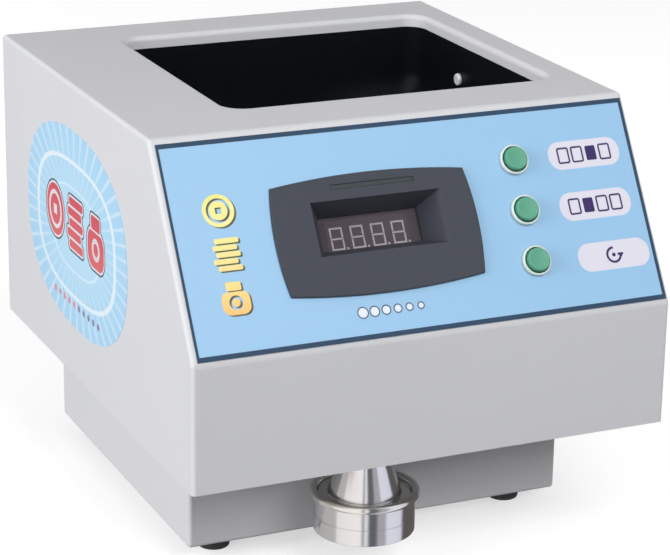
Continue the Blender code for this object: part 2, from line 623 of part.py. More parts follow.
def make_guide():
    """The sprung arm whose finger keeps the coins against the far side of the track."""
    low = BED_TOP + 2 * GAP
    pivot = frame_at("guide_pivot", (*GUIDE_AT, 0))
    length = math.hypot(*GUIDE_FINGER)
    heading = math.atan2(GUIDE_FINGER[1], GUIDE_FINGER[0])
    lever = rounded_rectangle(length + 0.009, 0.009, 0.0045, (length / 2, 0))
    arm = add("guide_arm", prism(lever, low, low + 0.004), look("steel"), pivot, rotation=(0, 0, heading))
    join(arm, rod(0.0028, (length, 0, FLOOR_OF_TRACK + 0.0006), (length, 0, low + 0.002), 16))
    cut(arm, rod(0.0022, (0, 0, low - 0.01), (0, 0, low + 0.01), 12))
    head = low + 0.004 + GAP
    pin = [(0, BED_TOP - 0.005), (0.0019, BED_TOP - 0.005), (0.0019, head), (0.0036, head), (0.0036, head + 0.0015),
           (0, head + 0.0015)]
    add("guide_pin", turned(pin, 16), look("zinc"), pivot)


def make_stop():
    """The solenoid that holds back the coins when a batch is complete. Its plunger crosses the track."""
    along, height = STOP_AT
    left = SPOUT_X + TRACK_HALF + WALL + 0.001
    coil = add("stop_solenoid", block((left, along - 0.010, height - 0.010), (left + 0.030, along + 0.010, height + 0.010)),
               look("laminate"))
    join(coil, block((left + 0.011, along - 0.007, DECK_TOP + GAP), (left + 0.019, along + 0.007, height - 0.008)))
    cut(coil, rod(0.0034, (left - 0.01, along, height), (left + 0.05, along, height), 16))
    reach = 0.0105
    plunger = [(0, -0.0022), (0.0024, -0.0022), (0.0030, -0.0014), (0.0030, 0.0312), (0.0030, 0.034 + reach),
               (0.0060, 0.034 + reach), (0.0060, 0.037 + reach), (0, 0.037 + reach)]
    add("stop_plunger", turned(plunger, 16), look("steel"), location=(left, along, height),
        rotation=(0, math.pi / 2, 0))


# ---- Power fittings and electronics ----
INLET_AT = (0.070, 0.045)         # (x, z) on the back of the base
SWITCH_AT = (0.020, 0.045)
FUSE_AT = (-0.015, 0.045)


def make_inlet():
    """A three-pin appliance inlet."""
    across, height = INLET_AT
    outside = BASE_BACK + GAP
    inlet = add("power_inlet", block((across - 0.024, outside, height - 0.0115), (across + 0.024, outside + 0.003, height + 0.0115)),
                look("black_plastic"))
    join(inlet, block((across - 0.0135, outside - 0.024, height - 0.0098), (across + 0.0135, outside + 0.001, height + 0.0098)))
    cut(inlet, block((across - 0.012, outside - 0.0155, height - 0.0082), (across + 0.012, outside + 0.01, height + 0.0082)))
    for pin_across, pin_up in ((0, 0.0035), (-0.007, -0.0025), (0.007, -0.0025)):
        middle = (across + pin_across, height + pin_up)
        join(inlet, block((middle[0] - 0.001, outside - 0.018, middle[1] - 0.002),
                          (middle[0] + 0.001, outside - 0.005, middle[1] + 0.002)))


def make_switch():
    """A rocker switch. The rocker turns about a cross pin behind the frame's face."""
    across, height = SWITCH_AT
    outside = BASE_BACK + GAP
    frame = add("switch_frame", block((across - 0.012, outside, height - 0.0155), (across + 0.012, outside + 0.002, height + 0.0155)),
                look("black_plastic"))
    join(frame, block((across - 0.0105, outside - 0.016, height - 0.0135), (across + 0.0105, outside + 0.001, height + 0.0135)))
    cut(frame, block((across - 0.0082, outside - 0.011, height - 0.0115), (across + 0.0082, outside + 0.01, height + 0.0115)))
    pivot = frame_at("rocker_pivot", (across, outside + 0.001, height))
    outline = [(0.0032, -0.0102), (0.0012, 0), (0.0032, 0.0102), (-0.0035, 0.009), (-0.006, 0), (-0.0035, -0.009)]
    rocker = add("switch_rocker", prism(outline, -0.0076, 0.0076, "X"), look("black_plastic"), pivot,
                 rotation=(math.radians(10), 0, 0))
    round_edges(rocker, 0.0004, 1)


def make_fuse():
    """A panel fuse holder with a bayonet cap. Z runs straight out of the back."""
    out = frame_at("fuse_frame", (FUSE_AT[0], BASE_BACK + GAP, FUSE_AT[1]), (-math.pi / 2, 0, 0))
    body = [(0, -0.030), (0.0063, -0.030), (0.0063, 0), (0.0085, 0), (0.0085, 0.002), (0.0045, 0.002),
            (0.0045, -0.024), (0, -0.024)]
    add("fuse_holder", turned(body, 24), look("black_plastic"), out)
    cap = [(0, -0.020), (0.0040, -0.020), (0.0040, 0.0024), (0.0068, 0.0024), (0.0064, 0.0085), (0, 0.0085)]
    knob = add("fuse_cap", turned(cap, 24), look("black_plastic"), out)
    cut(knob, block((-0.0005, -0.004, 0.0070), (0.0005, 0.004, 0.0095)))


def make_control_board():
    """The main board on four spacers, with its relay, capacitors, chip and heat sink."""
    floor = FOOT_HEIGHT + WALL + GAP
    low, high = (-0.110, -0.070), (-0.015, 0.010)
    board = add("control_board", block((*low, floor + 0.006), (*high, floor + 0.0076)), look("board"))
    for across in (low[0] + 0.006, high[0] - 0.006):
        for along in (low[1] + 0.006, high[1] - 0.006):
            join(board, rod(0.003, (across, along, floor), (across, along, floor + 0.007), 10))
    top = floor + 0.007
    for corner, size in (((-0.100, -0.055), (0.019, 0.016, 0.016)), ((-0.070, -0.050), (0.030, 0.012, 0.005)),
                         ((-0.045, -0.020), (0.022, 0.010, 0.024))):
        join(board, block((*corner, top), (corner[0] + size[0], corner[1] + size[1], top + size[2])))
    for across in (-0.092, -0.072):
        join(board, rod(0.006, (across, -0.015, top), (across, -0.015, top + 0.020), 16))


def make_transformer():
    """A mains transformer with its laminated core and the winding through it."""
    floor = FOOT_HEIGHT + WALL + GAP
    across, along = 0.078, -0.035
    core = add("transformer", block((across - 0.028, along - 0.014, floor), (across + 0.028, along + 0.014, floor + 0.046)),
               look("laminate"))
    join(core, block((across - 0.036, along - 0.010, floor), (across + 0.036, along + 0.010, floor + 0.002)))
    join(core, block((across - 0.018, along - 0.024, floor + 0.010), (across + 0.018, along + 0.024, floor + 0.037)))


def clear_scene():
    for left_over in list(bpy.data.objects):
        bpy.data.objects.remove(left_over, do_unlink=True)


def main():
    clear_scene()
    panel = make_panel_frame()
    make_cover(panel)
    make_deck()
    make_cover_screws()
    make_base()
    make_feet()
    make_front_label(panel)
    make_display(panel)
    make_buttons(panel)
    make_spout()
    make_bag_ring()
    make_liner()
    make_bed()
    make_disc_and_shaft()
    make_motor_and_belt()
    make_chute()
    make_sensor()
    make_guide()
    make_stop()
    make_inlet()
    make_switch()
    make_fuse()
    make_control_board()
    make_transformer()


main()
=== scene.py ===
"""Looks of a desktop coin counter: painted sheet casing, printed panel, black hopper and turned spout.

Metres, +Z up, the display towards -Y. The moving frame is loaded first, and each section below adds pieces or gives
loaded ones a better material.
"""

import math

import bmesh
import bpy
from mathutils import Matrix, Vector


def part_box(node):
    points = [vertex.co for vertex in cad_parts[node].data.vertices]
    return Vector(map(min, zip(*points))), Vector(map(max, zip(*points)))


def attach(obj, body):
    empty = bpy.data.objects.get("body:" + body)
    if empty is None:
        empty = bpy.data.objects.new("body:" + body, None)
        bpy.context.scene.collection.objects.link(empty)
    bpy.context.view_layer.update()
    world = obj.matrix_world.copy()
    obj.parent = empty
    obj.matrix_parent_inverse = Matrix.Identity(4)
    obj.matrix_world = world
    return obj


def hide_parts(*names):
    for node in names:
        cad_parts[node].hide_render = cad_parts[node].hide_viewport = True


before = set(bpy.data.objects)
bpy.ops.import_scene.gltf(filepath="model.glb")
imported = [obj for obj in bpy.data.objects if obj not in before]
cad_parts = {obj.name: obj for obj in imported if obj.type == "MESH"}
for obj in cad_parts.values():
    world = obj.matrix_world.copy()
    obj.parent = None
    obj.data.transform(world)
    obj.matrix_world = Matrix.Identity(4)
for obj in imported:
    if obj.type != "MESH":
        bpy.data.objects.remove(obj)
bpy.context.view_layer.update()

# ---- Camera, light and floor ----
# A long lens from the front left, a broad soft light on the left, a weaker one above, and a pale floor.
# Mirror-like metal needs something to reflect, so glossy rays see soft upright bands in place of plain white.
camera = bpy.data.objects.new("camera", bpy.data.cameras.new("camera"))
camera.data.lens = 135.04
camera.data.sensor_width = 36.0
camera.data.clip_end = 20.0
camera.location = (-0.6053, -1.3590, 0.6360)
camera.rotation_euler = [math.radians(angle) for angle in (71.401, -0.9052, -24.0928)]
bpy.context.scene.collection.objects.link(camera)
bpy.context.scene.camera = camera
bpy.context.scene.view_settings.view_transform = "Standard"

MIDDLE = Vector((0, 0, 0.12))
for name, place, size, power in (
    ("light_left", (-2.2, -0.3, 0.8), 1.5, 66), ("light_front", (0.3, -1.75, 1.5), 1.2, 41),
    ("light_top", (0.2, 0.3, 2.3), 1.6, 4), ("light_right", (2.2, 0.5, 0.9), 1.4, 10),
    ("light_back", (-0.7, 2.2, 0.9), 1.4, 10),
):
    lamp = bpy.data.objects.new(name, bpy.data.lights.new(name, "AREA"))
    lamp.data.size = size
    lamp.data.energy = power
    lamp.location = place
    lamp.rotation_euler = (Vector(place) - MIDDLE).to_track_quat("Z", "Y").to_euler()
    lamp.visible_glossy = False
    bpy.context.scene.collection.objects.link(lamp)

FLOOR_REACH = 6
floor_mesh = bpy.data.meshes.new("floor")
floor_mesh.from_pydata([(x * FLOOR_REACH, y * FLOOR_REACH, 0) for x, y in ((-1, -1), (1, -1), (1, 1), (-1, 1))],
                       [], [(0, 1, 2, 3)])
floor = bpy.data.objects.new("floor", floor_mesh)
bpy.context.scene.collection.objects.link(floor)
floor.visible_diffuse = False
floor.visible_glossy = False


class Signal:
    """One output of a shader node. Arithmetic on it adds the Math nodes that work it out."""

    def __init__(self, finish, socket):
        self.finish = finish
        self.socket = socket

    def part(self, number):
        """Another output of the same node, such as Y or Z beside X."""
        return Signal(self.finish, self.socket.node.outputs[number])

    def math(self, operation, *others):
        return self.finish.node("Math", {"operation": operation}, dict(enumerate((self, *others))))

    def held(self):
        """The value kept between 0 and 1."""
        return self.math("MINIMUM", 1.0).math("MAXIMUM", 0.0)

    def __add__(self, other):
        return self.math("ADD", other)

    def __sub__(self, other):
        return self.math("SUBTRACT", other)

    def __mul__(self, other):
        return self.math("MULTIPLY", other)

    def __truediv__(self, other):
        return self.math("DIVIDE", other)

    def __rsub__(self, other):
        return self.finish.node("Math", {"operation": "SUBTRACT"}, {0: other, 1: self})

    __radd__ = __add__
    __rmul__ = __mul__


class Finish:
    """A node tree under construction: a material's, or the world's."""

    def __init__(self, owner):
        self.owner = owner
        owner.use_nodes = True
        self.tree = owner.node_tree

    def node(self, kind, settings=None, inputs=None, output=0):
        """Adds a node, sets it up, fills its sockets with values or links, and gives back one output."""
        made = self.tree.nodes.new("ShaderNode" + kind)
        for setting, value in (settings or {}).items():
            if setting == "stops":
                for _ in value[2:]:
                    made.color_ramp.elements.new(1.0)
                for stop, (position, colour) in zip(made.color_ramp.elements, value):
                    stop.position = position
                    stop.color = (*colour, 1)
            else:
                setattr(made, setting, value)
        for socket, value in (inputs or {}).items():
            if isinstance(value, Signal):
                self.tree.links.new(value.socket, made.inputs[socket])
            else:
                made.inputs[socket].default_value = value
        return Signal(self, made.outputs[output])

    def surface(self, **values):
        """Sets the Principled shader. A name's underscores stand for spaces."""
        shader = self.tree.nodes["Principled BSDF"]
        for name, value in values.items():
            socket = shader.inputs[name.replace("_", " ")]
            if isinstance(value, Signal):
                self.tree.links.new(value.socket, socket)
            elif socket.type == "RGBA":
                socket.default_value = (*value, 1)
            else:
                socket.default_value = value
        return self.owner

    def varied(self, amount, low, high, roughness, relief, **others):
        """A surface whose colour and gloss change together, over a relief of (height, strength, distance)."""
        return self.surface(Base_Color=self.blend(amount, low, high), Roughness=self.between(amount, *roughness),
                            Normal=self.bump(*relief), **others)

    def place(self):
        return self.node("TexCoord", output="Object")

    def stretched(self, scale):
        """Object coordinates scaled along each axis."""
        return self.node("Mapping", inputs={"Vector": self.place(), "Scale": scale})

    def noise(self, scale, detail=2.0, roughness=0.5, place=None):
        return self.node("TexNoise", inputs={
            "Vector": place or self.place(), "Scale": scale, "Detail": detail, "Roughness": roughness})

    def blend(self, amount, low, high):
        """A colour between two, by an amount from 0 to 1."""
        ends = {number: colour if isinstance(colour, Signal) else (*colour, 1)
                for number, colour in ((6, low), (7, high))}
        return self.node("Mix", {"data_type": "RGBA"}, {0: amount, **ends}, 2)

    def between(self, amount, low, high):
        """A number between two, by an amount from 0 to 1."""
        return amount * (high - low) + low

    def bump(self, height, strength, distance):
        return self.node("Bump", inputs={"Height": height, "Strength": strength, "Distance": distance},
                         output="Normal")


def new_finish(name):
    return Finish(bpy.data.materials.new(name))


world = Finish(bpy.data.worlds.new("studio"))
bpy.context.scene.world = world.owner
direction = world.node("SeparateXYZ", inputs={0: world.node("TexCoord", output="Generated")})
bearing = direction.part(1).math("ARCTAN2", direction) / (2 * math.pi) + 0.5
bands = world.node("ValToRGB", {"stops": [
    (0.000, (0.90, 0.88, 0.88)), (0.165, (1.02, 1.00, 1.00)), (0.172, (0.22, 0.22, 0.24)),
    (0.180, (0.26, 0.26, 0.28)), (0.188, (0.95, 0.97, 1.00)), (0.204, (0.85, 0.87, 0.90)),
    (0.214, (0.10, 0.11, 0.13)), (0.262, (0.14, 0.15, 0.17)), (0.272, (0.48, 0.46, 0.48)),
    (0.318, (0.40, 0.40, 0.44)), (0.330, (0.80, 0.82, 0.92)), (0.440, (0.74, 0.76, 0.86)),
    (0.456, (0.11, 0.10, 0.10)), (0.690, (0.14, 0.13, 0.12)), (0.760, (0.42, 0.42, 0.42)),
    (0.930, (0.52, 0.51, 0.50))]}, {"Fac": bearing})
mirrored = world.node("LightPath", output="Is Glossy Ray")
seen = world.node("LightPath", output="Is Camera Ray")
walls = world.blend(seen, world.blend(mirrored, (0.33, 0.33, 0.33), bands), (0.97, 0.97, 0.97))
world.tree.links.new(walls.socket, world.tree.nodes["Background"].inputs["Color"])

floor_finish = new_finish("studio_floor")
tone = floor_finish.noise(3.0)
floor.data.materials.append(floor_finish.surface(
    Base_Color=floor_finish.blend(tone, (0.49, 0.49, 0.49), (0.50, 0.50, 0.50)), Roughness=0.9,
    Emission_Color=(1.0, 1.0, 1.0), Emission_Strength=0.54))

# ---- Base pan ----
# Sheet steel folded into an open box, welded at the corners and painted light grey inside and out. Its back
# has openings for the power fittings and a row of cooling slots.
WALL = 0.002
GAP = 0.0003
EDGE_RADIUS = 0.0025
INLET_HOLE = (0.0139, 0.0102)
SWITCH_HOLE = (0.0109, 0.0139)
FUSE_HOLE = 0.0066
COOLING_SLOTS = 6
base_low, base_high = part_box("base_pan")


def centre_of(node):
    low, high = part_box(node)
    return (low + high) / 2


def block(low, high):
    """A box between two opposite corners."""
    shape = bmesh.new()
    size = Vector(high) - Vector(low)
    middle = (Vector(high) + Vector(low)) / 2
    bmesh.ops.create_cube(shape, size=1.0, matrix=Matrix.Translation(middle) @ Matrix.Diagonal(size.to_4d()))
    return shape


def rod(radius, start, end, steps=48):
    """A round bar between two points."""
    shape = bmesh.new()
    along = Vector(end) - Vector(start)
    turn = along.to_track_quat("Z", "Y").to_matrix().to_4x4()
    where = Matrix.Translation((Vector(start) + Vector(end)) / 2) @ turn
    bmesh.ops.create_cone(shape, cap_ends=True, segments=steps, radius1=radius, radius2=radius,
                          depth=along.length, matrix=where)
    return shape


def draft(name, shape, matrix=None):
    """A mesh object from a shape, not yet finished."""
    if matrix:
        bmesh.ops.transform(shape, matrix=matrix, verts=shape.verts)
    bmesh.ops.recalc_face_normals(shape, faces=shape.faces)
    mesh = bpy.data.meshes.new(name)
    shape.to_mesh(mesh)
    shape.free()
    made = bpy.data.objects.new(name, mesh)
    bpy.context.scene.collection.objects.link(made)
    return made


def round_edges(target, width, segments=4, angle=25):
    bevel = target.modifiers.new("round_edges", "BEVEL")
    bevel.width = width
    bevel.segments = segments
    bevel.limit_method = "ANGLE"
    bevel.angle_limit = math.radians(angle)


def combine(target, shapes, operation, matrix=None):
    """Adds or cuts away shapes, with Boolean modifiers on helper objects."""
    for shape in shapes:
        helper = draft("helper", shape, matrix)
        modifier = target.modifiers.new(operation.lower(), "BOOLEAN")
        modifier.operation = operation
        modifier.object = helper


def complete(target, finish, body="chassis", nodes=(), sharp=32):
    """Turns a draft into its final plain mesh, gives it its finish and lets it ride on a body."""
    helpers = [modifier.object for modifier in target.modifiers if modifier.type == "BOOLEAN"]
    graph = bpy.context.evaluated_depsgraph_get()
    final = bpy.data.meshes.new_from_object(target.evaluated_get(graph))
    target.modifiers.clear()
    target.data = final
    for helper in helpers:
        bpy.data.objects.remove(helper)
    final.materials.clear()
    final.materials.append(finish)
    final.shade_smooth()
    final.set_sharp_from_angle(angle=math.radians(sharp))
    even = target.modifiers.new("even_shading", "WEIGHTED_NORMAL")
    even.keep_sharp = True
    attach(target, body)
    if nodes:
        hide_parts(*nodes)
    return target


def powder_paint(name, colour):
    """Sprayed paint: a fine orange peel, slightly uneven gloss and a very faint change of tone."""
    finish = new_finish(name)
    tone = finish.noise(14.0, 3.0)
    peel = finish.noise(1100.0, 2.0)
    gloss = finish.noise(55.0, 3.0)
    darker = [part * 0.965 for part in colour]
    return finish.surface(
        Base_Color=finish.blend(tone, darker, colour), Roughness=finish.between(gloss, 0.36, 0.50),
        Specular_IOR_Level=0.45, Normal=finish.bump(peel, 0.10, 0.0004))


paint = powder_paint("light_grey_paint", (0.485, 0.488, 0.508))


def make_base_pan():
    pan = draft("base_casing", block(base_low, (base_high.x, base_high.y, base_high.z + 0.02)))
    round_edges(pan, EDGE_RADIUS, 5)
    inner_high = (base_high.x - WALL, base_high.y - WALL, base_high.z + 0.05)
    near, far = base_high.y - 0.01, base_high.y + 0.01
    cutters = [block((-1, -1, base_high.z), (1, 1, base_high.z + 0.1)),
               block(base_low + Vector((WALL, WALL, WALL)), inner_high)]
    for node, (across, up) in (("power_inlet", INLET_HOLE), ("switch_frame", SWITCH_HOLE)):
        x, _, z = centre_of(node)
        cutters.append(block((x - across, near, z - up), (x + across, far, z + up)))
    x, _, z = centre_of("fuse_holder")
    cutters.append(rod(FUSE_HOLE, (x, near, z), (x, far, z)))
    for slot in range(COOLING_SLOTS):
        left = -0.100 + slot * 0.011
        cutters.append(block((left, near, 0.030), (left + 0.004, far, 0.062)))
    combine(pan, cutters, "DIFFERENCE")
    complete(pan, paint, nodes=["base_pan"])


make_base_pan()

# ---- Feet ----
# Soft black rubber, moulded with a rounded sole. A stepped recess below takes the fixing screw and its
# washer, which hold the foot to the base.
def arc(centre, radius, first, last, steps=5):
    """Points of an outline's round corner, from one angle to another, in degrees."""
    turns = [math.radians(first + (last - first) * step / steps) for step in range(steps + 1)]
    return [(centre[0] + radius * math.cos(turn), centre[1] + radius * math.sin(turn)) for turn in turns]


def turned(profile, steps=96):
    """A closed (radius, height) outline spun about the Z axis."""
    shape = bmesh.new()
    points = [shape.verts.new((radius, 0, height)) for radius, height in profile]
    edges = [shape.edges.new(pair) for pair in zip(points, points[1:] + points[:1])]
    bmesh.ops.spin(shape, geom=points + edges, cent=(0, 0, 0), axis=(0, 0, 1), angle=2 * math.pi,
                   steps=steps, use_merge=True)
    bmesh.ops.remove_doubles(shape, verts=shape.verts, dist=1e-6)
    bmesh.ops.dissolve_degenerate(shape, edges=shape.edges, dist=1e-6)
    return shape


def rubber(name, colour=(0.018, 0.018, 0.019)):
    """Moulded rubber, dull, with a fine grain and a little dust in its tone."""
    finish = new_finish(name)
    dust = finish.noise(120.0, 4.0, 0.6)
    grain = finish.noise(2600.0, 1.0)
    return finish.varied(dust, colour, [part * 1.9 for part in colour], (0.62, 0.82), (grain, 0.25, 0.0002))


foot_rubber = rubber("foot_rubber")
for node in ("foot_front_left", "foot_front_right", "foot_rear_left", "foot_rear_right"):
    low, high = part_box(node)
    radius = (high.x - low.x) / 2
    height = high.z - low.z
    sole = [(0.0032, 0.0045), (0.0032, 0.0030), (0.0062, 0.0030), (0.0062, 0.0), (0.0066, 0.0)]
    side = arc((radius - 0.0024, 0.0012), 0.0012, -90, -10) + [(radius, height - 0.0006), (radius - 0.0006, height)]
    foot = draft(node + "_moulding", turned(sole + side + [(0.0032, height)]),
                 Matrix.Translation(((low.x + high.x) / 2, (low.y + high.y) / 2, 0)))
    complete(foot, foot_rubber, nodes=[node])

# ---- Power fittings on the back of the base ----
# Black moulded plastic: an appliance inlet with three plated pins, a rocker switch with a dot and a ring
# for off and on, and a fuse holder whose ribbed cap turns.
def moulded(name, colour, roughness=(0.40, 0.52), grain_scale=2200.0, grain=0.18, shine=0.5):
    """Injection-moulded plastic with a spark-eroded grain."""
    finish = new_finish(name)
    cloud = finish.noise(70.0, 3.0)
    texture = finish.noise(grain_scale, 2.0)
    return finish.varied(cloud, colour, [part * 1.12 for part in colour], roughness, (texture, grain, 0.00025),
                         Specular_IOR_Level=shine)


black_plastic = moulded("black_plastic", (0.020, 0.021, 0.023))


def plated(name, colour, roughness=(0.24, 0.40), metal=1.0):
    """Zinc, nickel or tin plating, with faint patches of shine."""
    finish = new_finish(name)
    cloud = finish.noise(180.0, 4.0, 0.6)
    return finish.varied(cloud, [part * 0.85 for part in colour], colour, roughness,
                         (finish.noise(1500.0), 0.08, 0.0002), Metallic=metal)


nickel = plated("nickel_plate", (0.70, 0.68, 0.64), (0.18, 0.30))
zinc = plated("zinc_plate", (0.66, 0.66, 0.62))
mark_white = moulded("mark_white", (0.75, 0.75, 0.73), (0.45, 0.55))
back = base_high.y + GAP


def on_back(x, z, half_width, half_height, inwards, outwards):
    """A box round a point of the back wall, from a depth inside it to a height outside it."""
    return block((x - half_width, back - inwards, z - half_height),
                 (x + half_width, back + outwards, z + half_height))


def make_inlet():
    x, _, z = centre_of("power_inlet")
    flange = draft("inlet_moulding", on_back(x, z, 0.024, 0.0115, 0, 0.003))
    round_edges(flange, 0.0007, 3)
    combine(flange, [on_back(x, z, 0.0135, 0.0098, 0.024, 0.001)], "UNION")
    combine(flange, [on_back(x, z, 0.012, 0.0082, 0.0155, 0.01)], "DIFFERENCE")
    complete(flange, black_plastic, nodes=["power_inlet"])
    for number, (across, up) in enumerate(((0, 0.0035), (-0.007, -0.0025), (0.007, -0.0025)), 1):
        pin = draft(f"inlet_pin_{number}", on_back(x + across, z + up, 0.001, 0.002, 0.0158, -0.005))
        round_edges(pin, 0.0006, 3)
        complete(pin, nickel)


def prism(outline, low, high, axis="Z"):
    """An outline pushed out from low to high along an axis. Along X, the outline is (y, z)."""
    shape = bmesh.new()
    if axis == "X":
        face = shape.faces.new([shape.verts.new((low, across, up)) for across, up in outline])
        way = Vector((high - low, 0, 0))
    else:
        face = shape.faces.new([shape.verts.new((across, up, low)) for across, up in outline])
        way = Vector((0, 0, high - low))
    pushed = bmesh.ops.extrude_face_region(shape, geom=[face])["geom"]
    bmesh.ops.translate(shape, vec=way, verts=[item for item in pushed if isinstance(item, bmesh.types.BMVert)])
    return shape


def make_switch():
    x, _, z = centre_of("switch_frame")
    surround = draft("switch_moulding", on_back(x, z, 0.012, 0.0155, 0, 0.002))
    round_edges(surround, 0.0008, 3)
    combine(surround, [on_back(x, z, 0.0105, 0.0135, 0.016, 0.001)], "UNION")
    combine(surround, [on_back(x, z, 0.0082, 0.0115, 0.011, 0.01)], "DIFFERENCE")
    complete(surround, black_plastic, nodes=["switch_frame"])
    face = [(0.0032, -0.0102), (0.0022, -0.0052), (0.0018, 0), (0.0022, 0.0052), (0.0032, 0.0102),
            (-0.0035, 0.009), (-0.006, 0), (-0.0035, -0.009)]
    tilt = Matrix.Translation((x, back + 0.001, z)) @ Matrix.Rotation(math.radians(10), 4, "X")
    rocker = draft("rocker_moulding", prism(face, -0.0076, 0.0076, "X"), tilt)
    round_edges(rocker, 0.0005, 3, 40)
    complete(rocker, black_plastic, "rocker", ["switch_rocker"])
    outward = tilt @ Matrix.Rotation(math.radians(-90), 4, "X")
    ring = [(0.0016, -0.0002), (0.0021, -0.0002), (0.0021, 0.0002), (0.0016, 0.0002)]
    bar = block((-0.0003, -0.0018, -0.0002), (0.0003, 0.0018, 0.0002))
    for name, shape, side in (("switch_ring_mark", turned(ring, 40), -1), ("switch_bar_mark", bar, 1)):
        lying = Matrix.Translation((0, side * 0.0066, 0.00248)) @ Matrix.Rotation(side * math.atan(0.2), 4, "X")
        complete(draft(name, shape, outward @ lying), mark_white, "rocker")


FLUTES = 18


def make_fuse():
    x, _, z = centre_of("fuse_holder")
    outward = Matrix.Translation((x, back, z)) @ Matrix.Rotation(-math.pi / 2, 4, "X")
    body = [(0, -0.030), (0.0063, -0.030), (0.0063, 0), (0.0085, 0)] + arc((0.0079, 0.0014), 0.0006, 0, 90)
    body += [(0.0045, 0.002), (0.0045, -0.024), (0, -0.024)]
    holder = draft("fuse_body", turned(body, 64), outward)
    complete(holder, black_plastic, nodes=["fuse_holder"])
    cap = [(0, -0.020), (0.0040, -0.020), (0.0040, 0.0024), (0.0066, 0.0024)] + arc((0.0056, 0.0077), 0.0008, 0, 90)
    knob = draft("fuse_knob", turned(cap + [(0, 0.0085)], 64), outward)
    grooves = []
    for number in range(FLUTES):
        turn = number * 2 * math.pi / FLUTES
        where = (0.0070 * math.cos(turn), 0.0070 * math.sin(turn))
        grooves.append(rod(0.0007, (*where, 0.0034), (*where, 0.0100), 12))
    grooves.append(block((-0.0005, -0.0045, 0.0072), (0.0005, 0.0045, 0.0095)))
    combine(knob, grooves, "DIFFERENCE", outward)
    complete(knob, black_plastic, "fuse_cap", ["fuse_cap"])


make_inlet()
make_switch()
make_fuse()

# ---- Electronics inside the base ----
# A green circuit board with plain component bodies, and a mains transformer of stacked laminations. The
# stop solenoid's frame is laminated in the same way.
def refinish(finish, *nodes):
    """Gives CAD pieces that keep their own shape a better material."""
    for node in nodes:
        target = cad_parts[node]
        target.data.materials.clear()
        target.data.materials.append(finish)


def circuit_board():
    """Solder mask with slightly raised copper tracks under it."""
    finish = new_finish("circuit_board")
    tracks = finish.node("TexBrick", {"offset": 0.5}, {
        "Vector": finish.place(), "Scale": 160.0, "Mortar Size": 0.06, "Color1": (0, 0, 0, 1),
        "Color2": (0, 0, 0, 1), "Mortar": (1, 1, 1, 1)})
    return finish.surface(Base_Color=finish.blend(tracks, (0.012, 0.110, 0.045), (0.050, 0.230, 0.090)),
                          Roughness=0.35, Normal=finish.bump(tracks, 0.3, 0.0002))


def laminations():
    """Varnished steel sheets, stacked along X."""
    finish = new_finish("laminations")
    sheets = finish.noise(1.0, 1.0, 0.5, finish.stretched((2400, 6, 6)))
    return finish.varied(sheets, (0.10, 0.09, 0.08), (0.36, 0.33, 0.30), (0.35, 0.60), (sheets, 0.4, 0.0003),
                         Metallic=0.7)


refinish(circuit_board(), "control_board")
refinish(laminations(), "transformer", "stop_solenoid")

# ---- Deck and its screws ----
# A zinc-plated sheet closes the housing below. Pan-head screws with a cross recess go up through it into
# the cover's lugs.
refinish(zinc, "deck_plate", "guide_pin", "button_nut_1", "button_nut_2", "button_nut_3")


def screw_shape(head_radius, head_height, shank_radius, length):
    """A pan-head screw with a cross recess, its head towards -Z and its seat at height 0."""
    crown = arc((head_radius - 0.0012, -head_height + 0.0012), 0.0012, -90, 0, 4)
    profile = [(0, -head_height)] + crown + [(head_radius, 0), (shank_radius, 0), (shank_radius, length), (0, length)]
    return turned(profile, 32)


def screw_group(name, shape, matrices, finish, nodes, cross):
    """Geometry Nodes put one screw on each point, turned to its own direction, and make them real."""
    screw = draft(name + "_single", shape)
    arms = [block((-cross, -0.00035, -0.01), (cross, 0.00035, -0.0011)),
            block((-0.00035, -cross, -0.01), (0.00035, cross, -0.0011))]
    combine(screw, arms, "DIFFERENCE")
    carrier = bpy.data.meshes.new(name)
    carrier.from_pydata([matrix.translation for matrix in matrices], [], [])
    turns = carrier.attributes.new("turn", "FLOAT_VECTOR", "POINT")
    for slot, matrix in zip(turns.data, matrices):
        slot.vector = matrix.to_euler()
    group = bpy.data.objects.new(name, carrier)
    bpy.context.scene.collection.objects.link(group)
    tree = bpy.data.node_groups.new(name, "GeometryNodeTree")
    tree.interface.new_socket("Points", in_out="INPUT", socket_type="NodeSocketGeometry")
    single = tree.interface.new_socket("Screw", in_out="INPUT", socket_type="NodeSocketObject")
    coat = tree.interface.new_socket("Finish", in_out="INPUT", socket_type="NodeSocketMaterial")
    tree.interface.new_socket("Screws", in_out="OUTPUT", socket_type="NodeSocketGeometry")
    start = tree.nodes.new("NodeGroupInput")
    end = tree.nodes.new("NodeGroupOutput")
    info = tree.nodes.new("GeometryNodeObjectInfo")
    turn = tree.nodes.new("GeometryNodeInputNamedAttribute")
    turn.data_type = "FLOAT_VECTOR"
    turn.inputs["Name"].default_value = "turn"
    copies = tree.nodes.new("GeometryNodeInstanceOnPoints")
    real = tree.nodes.new("GeometryNodeRealizeInstances")
    coated = tree.nodes.new("GeometryNodeSetMaterial")
    for source, output, target, taken in (
        (start, "Points", copies, "Points"), (start, "Screw", info, "Object"), (info, "Geometry", copies, "Instance"),
        (turn, 0, copies, "Rotation"), (copies, 0, real, 0), (real, 0, coated, "Geometry"),
        (start, "Finish", coated, "Material"), (coated, 0, end, 0),
    ):
        tree.links.new(source.outputs[output], target.inputs[taken])
    maker = group.modifiers.new("screws", "NODES")
    maker.node_group = tree
    maker[single.identifier] = screw
    maker[coat.identifier] = finish
    helpers = [modifier.object for modifier in screw.modifiers]
    complete(group, finish, nodes=nodes)
    for helper in (screw, *helpers):
        bpy.data.objects.remove(helper)


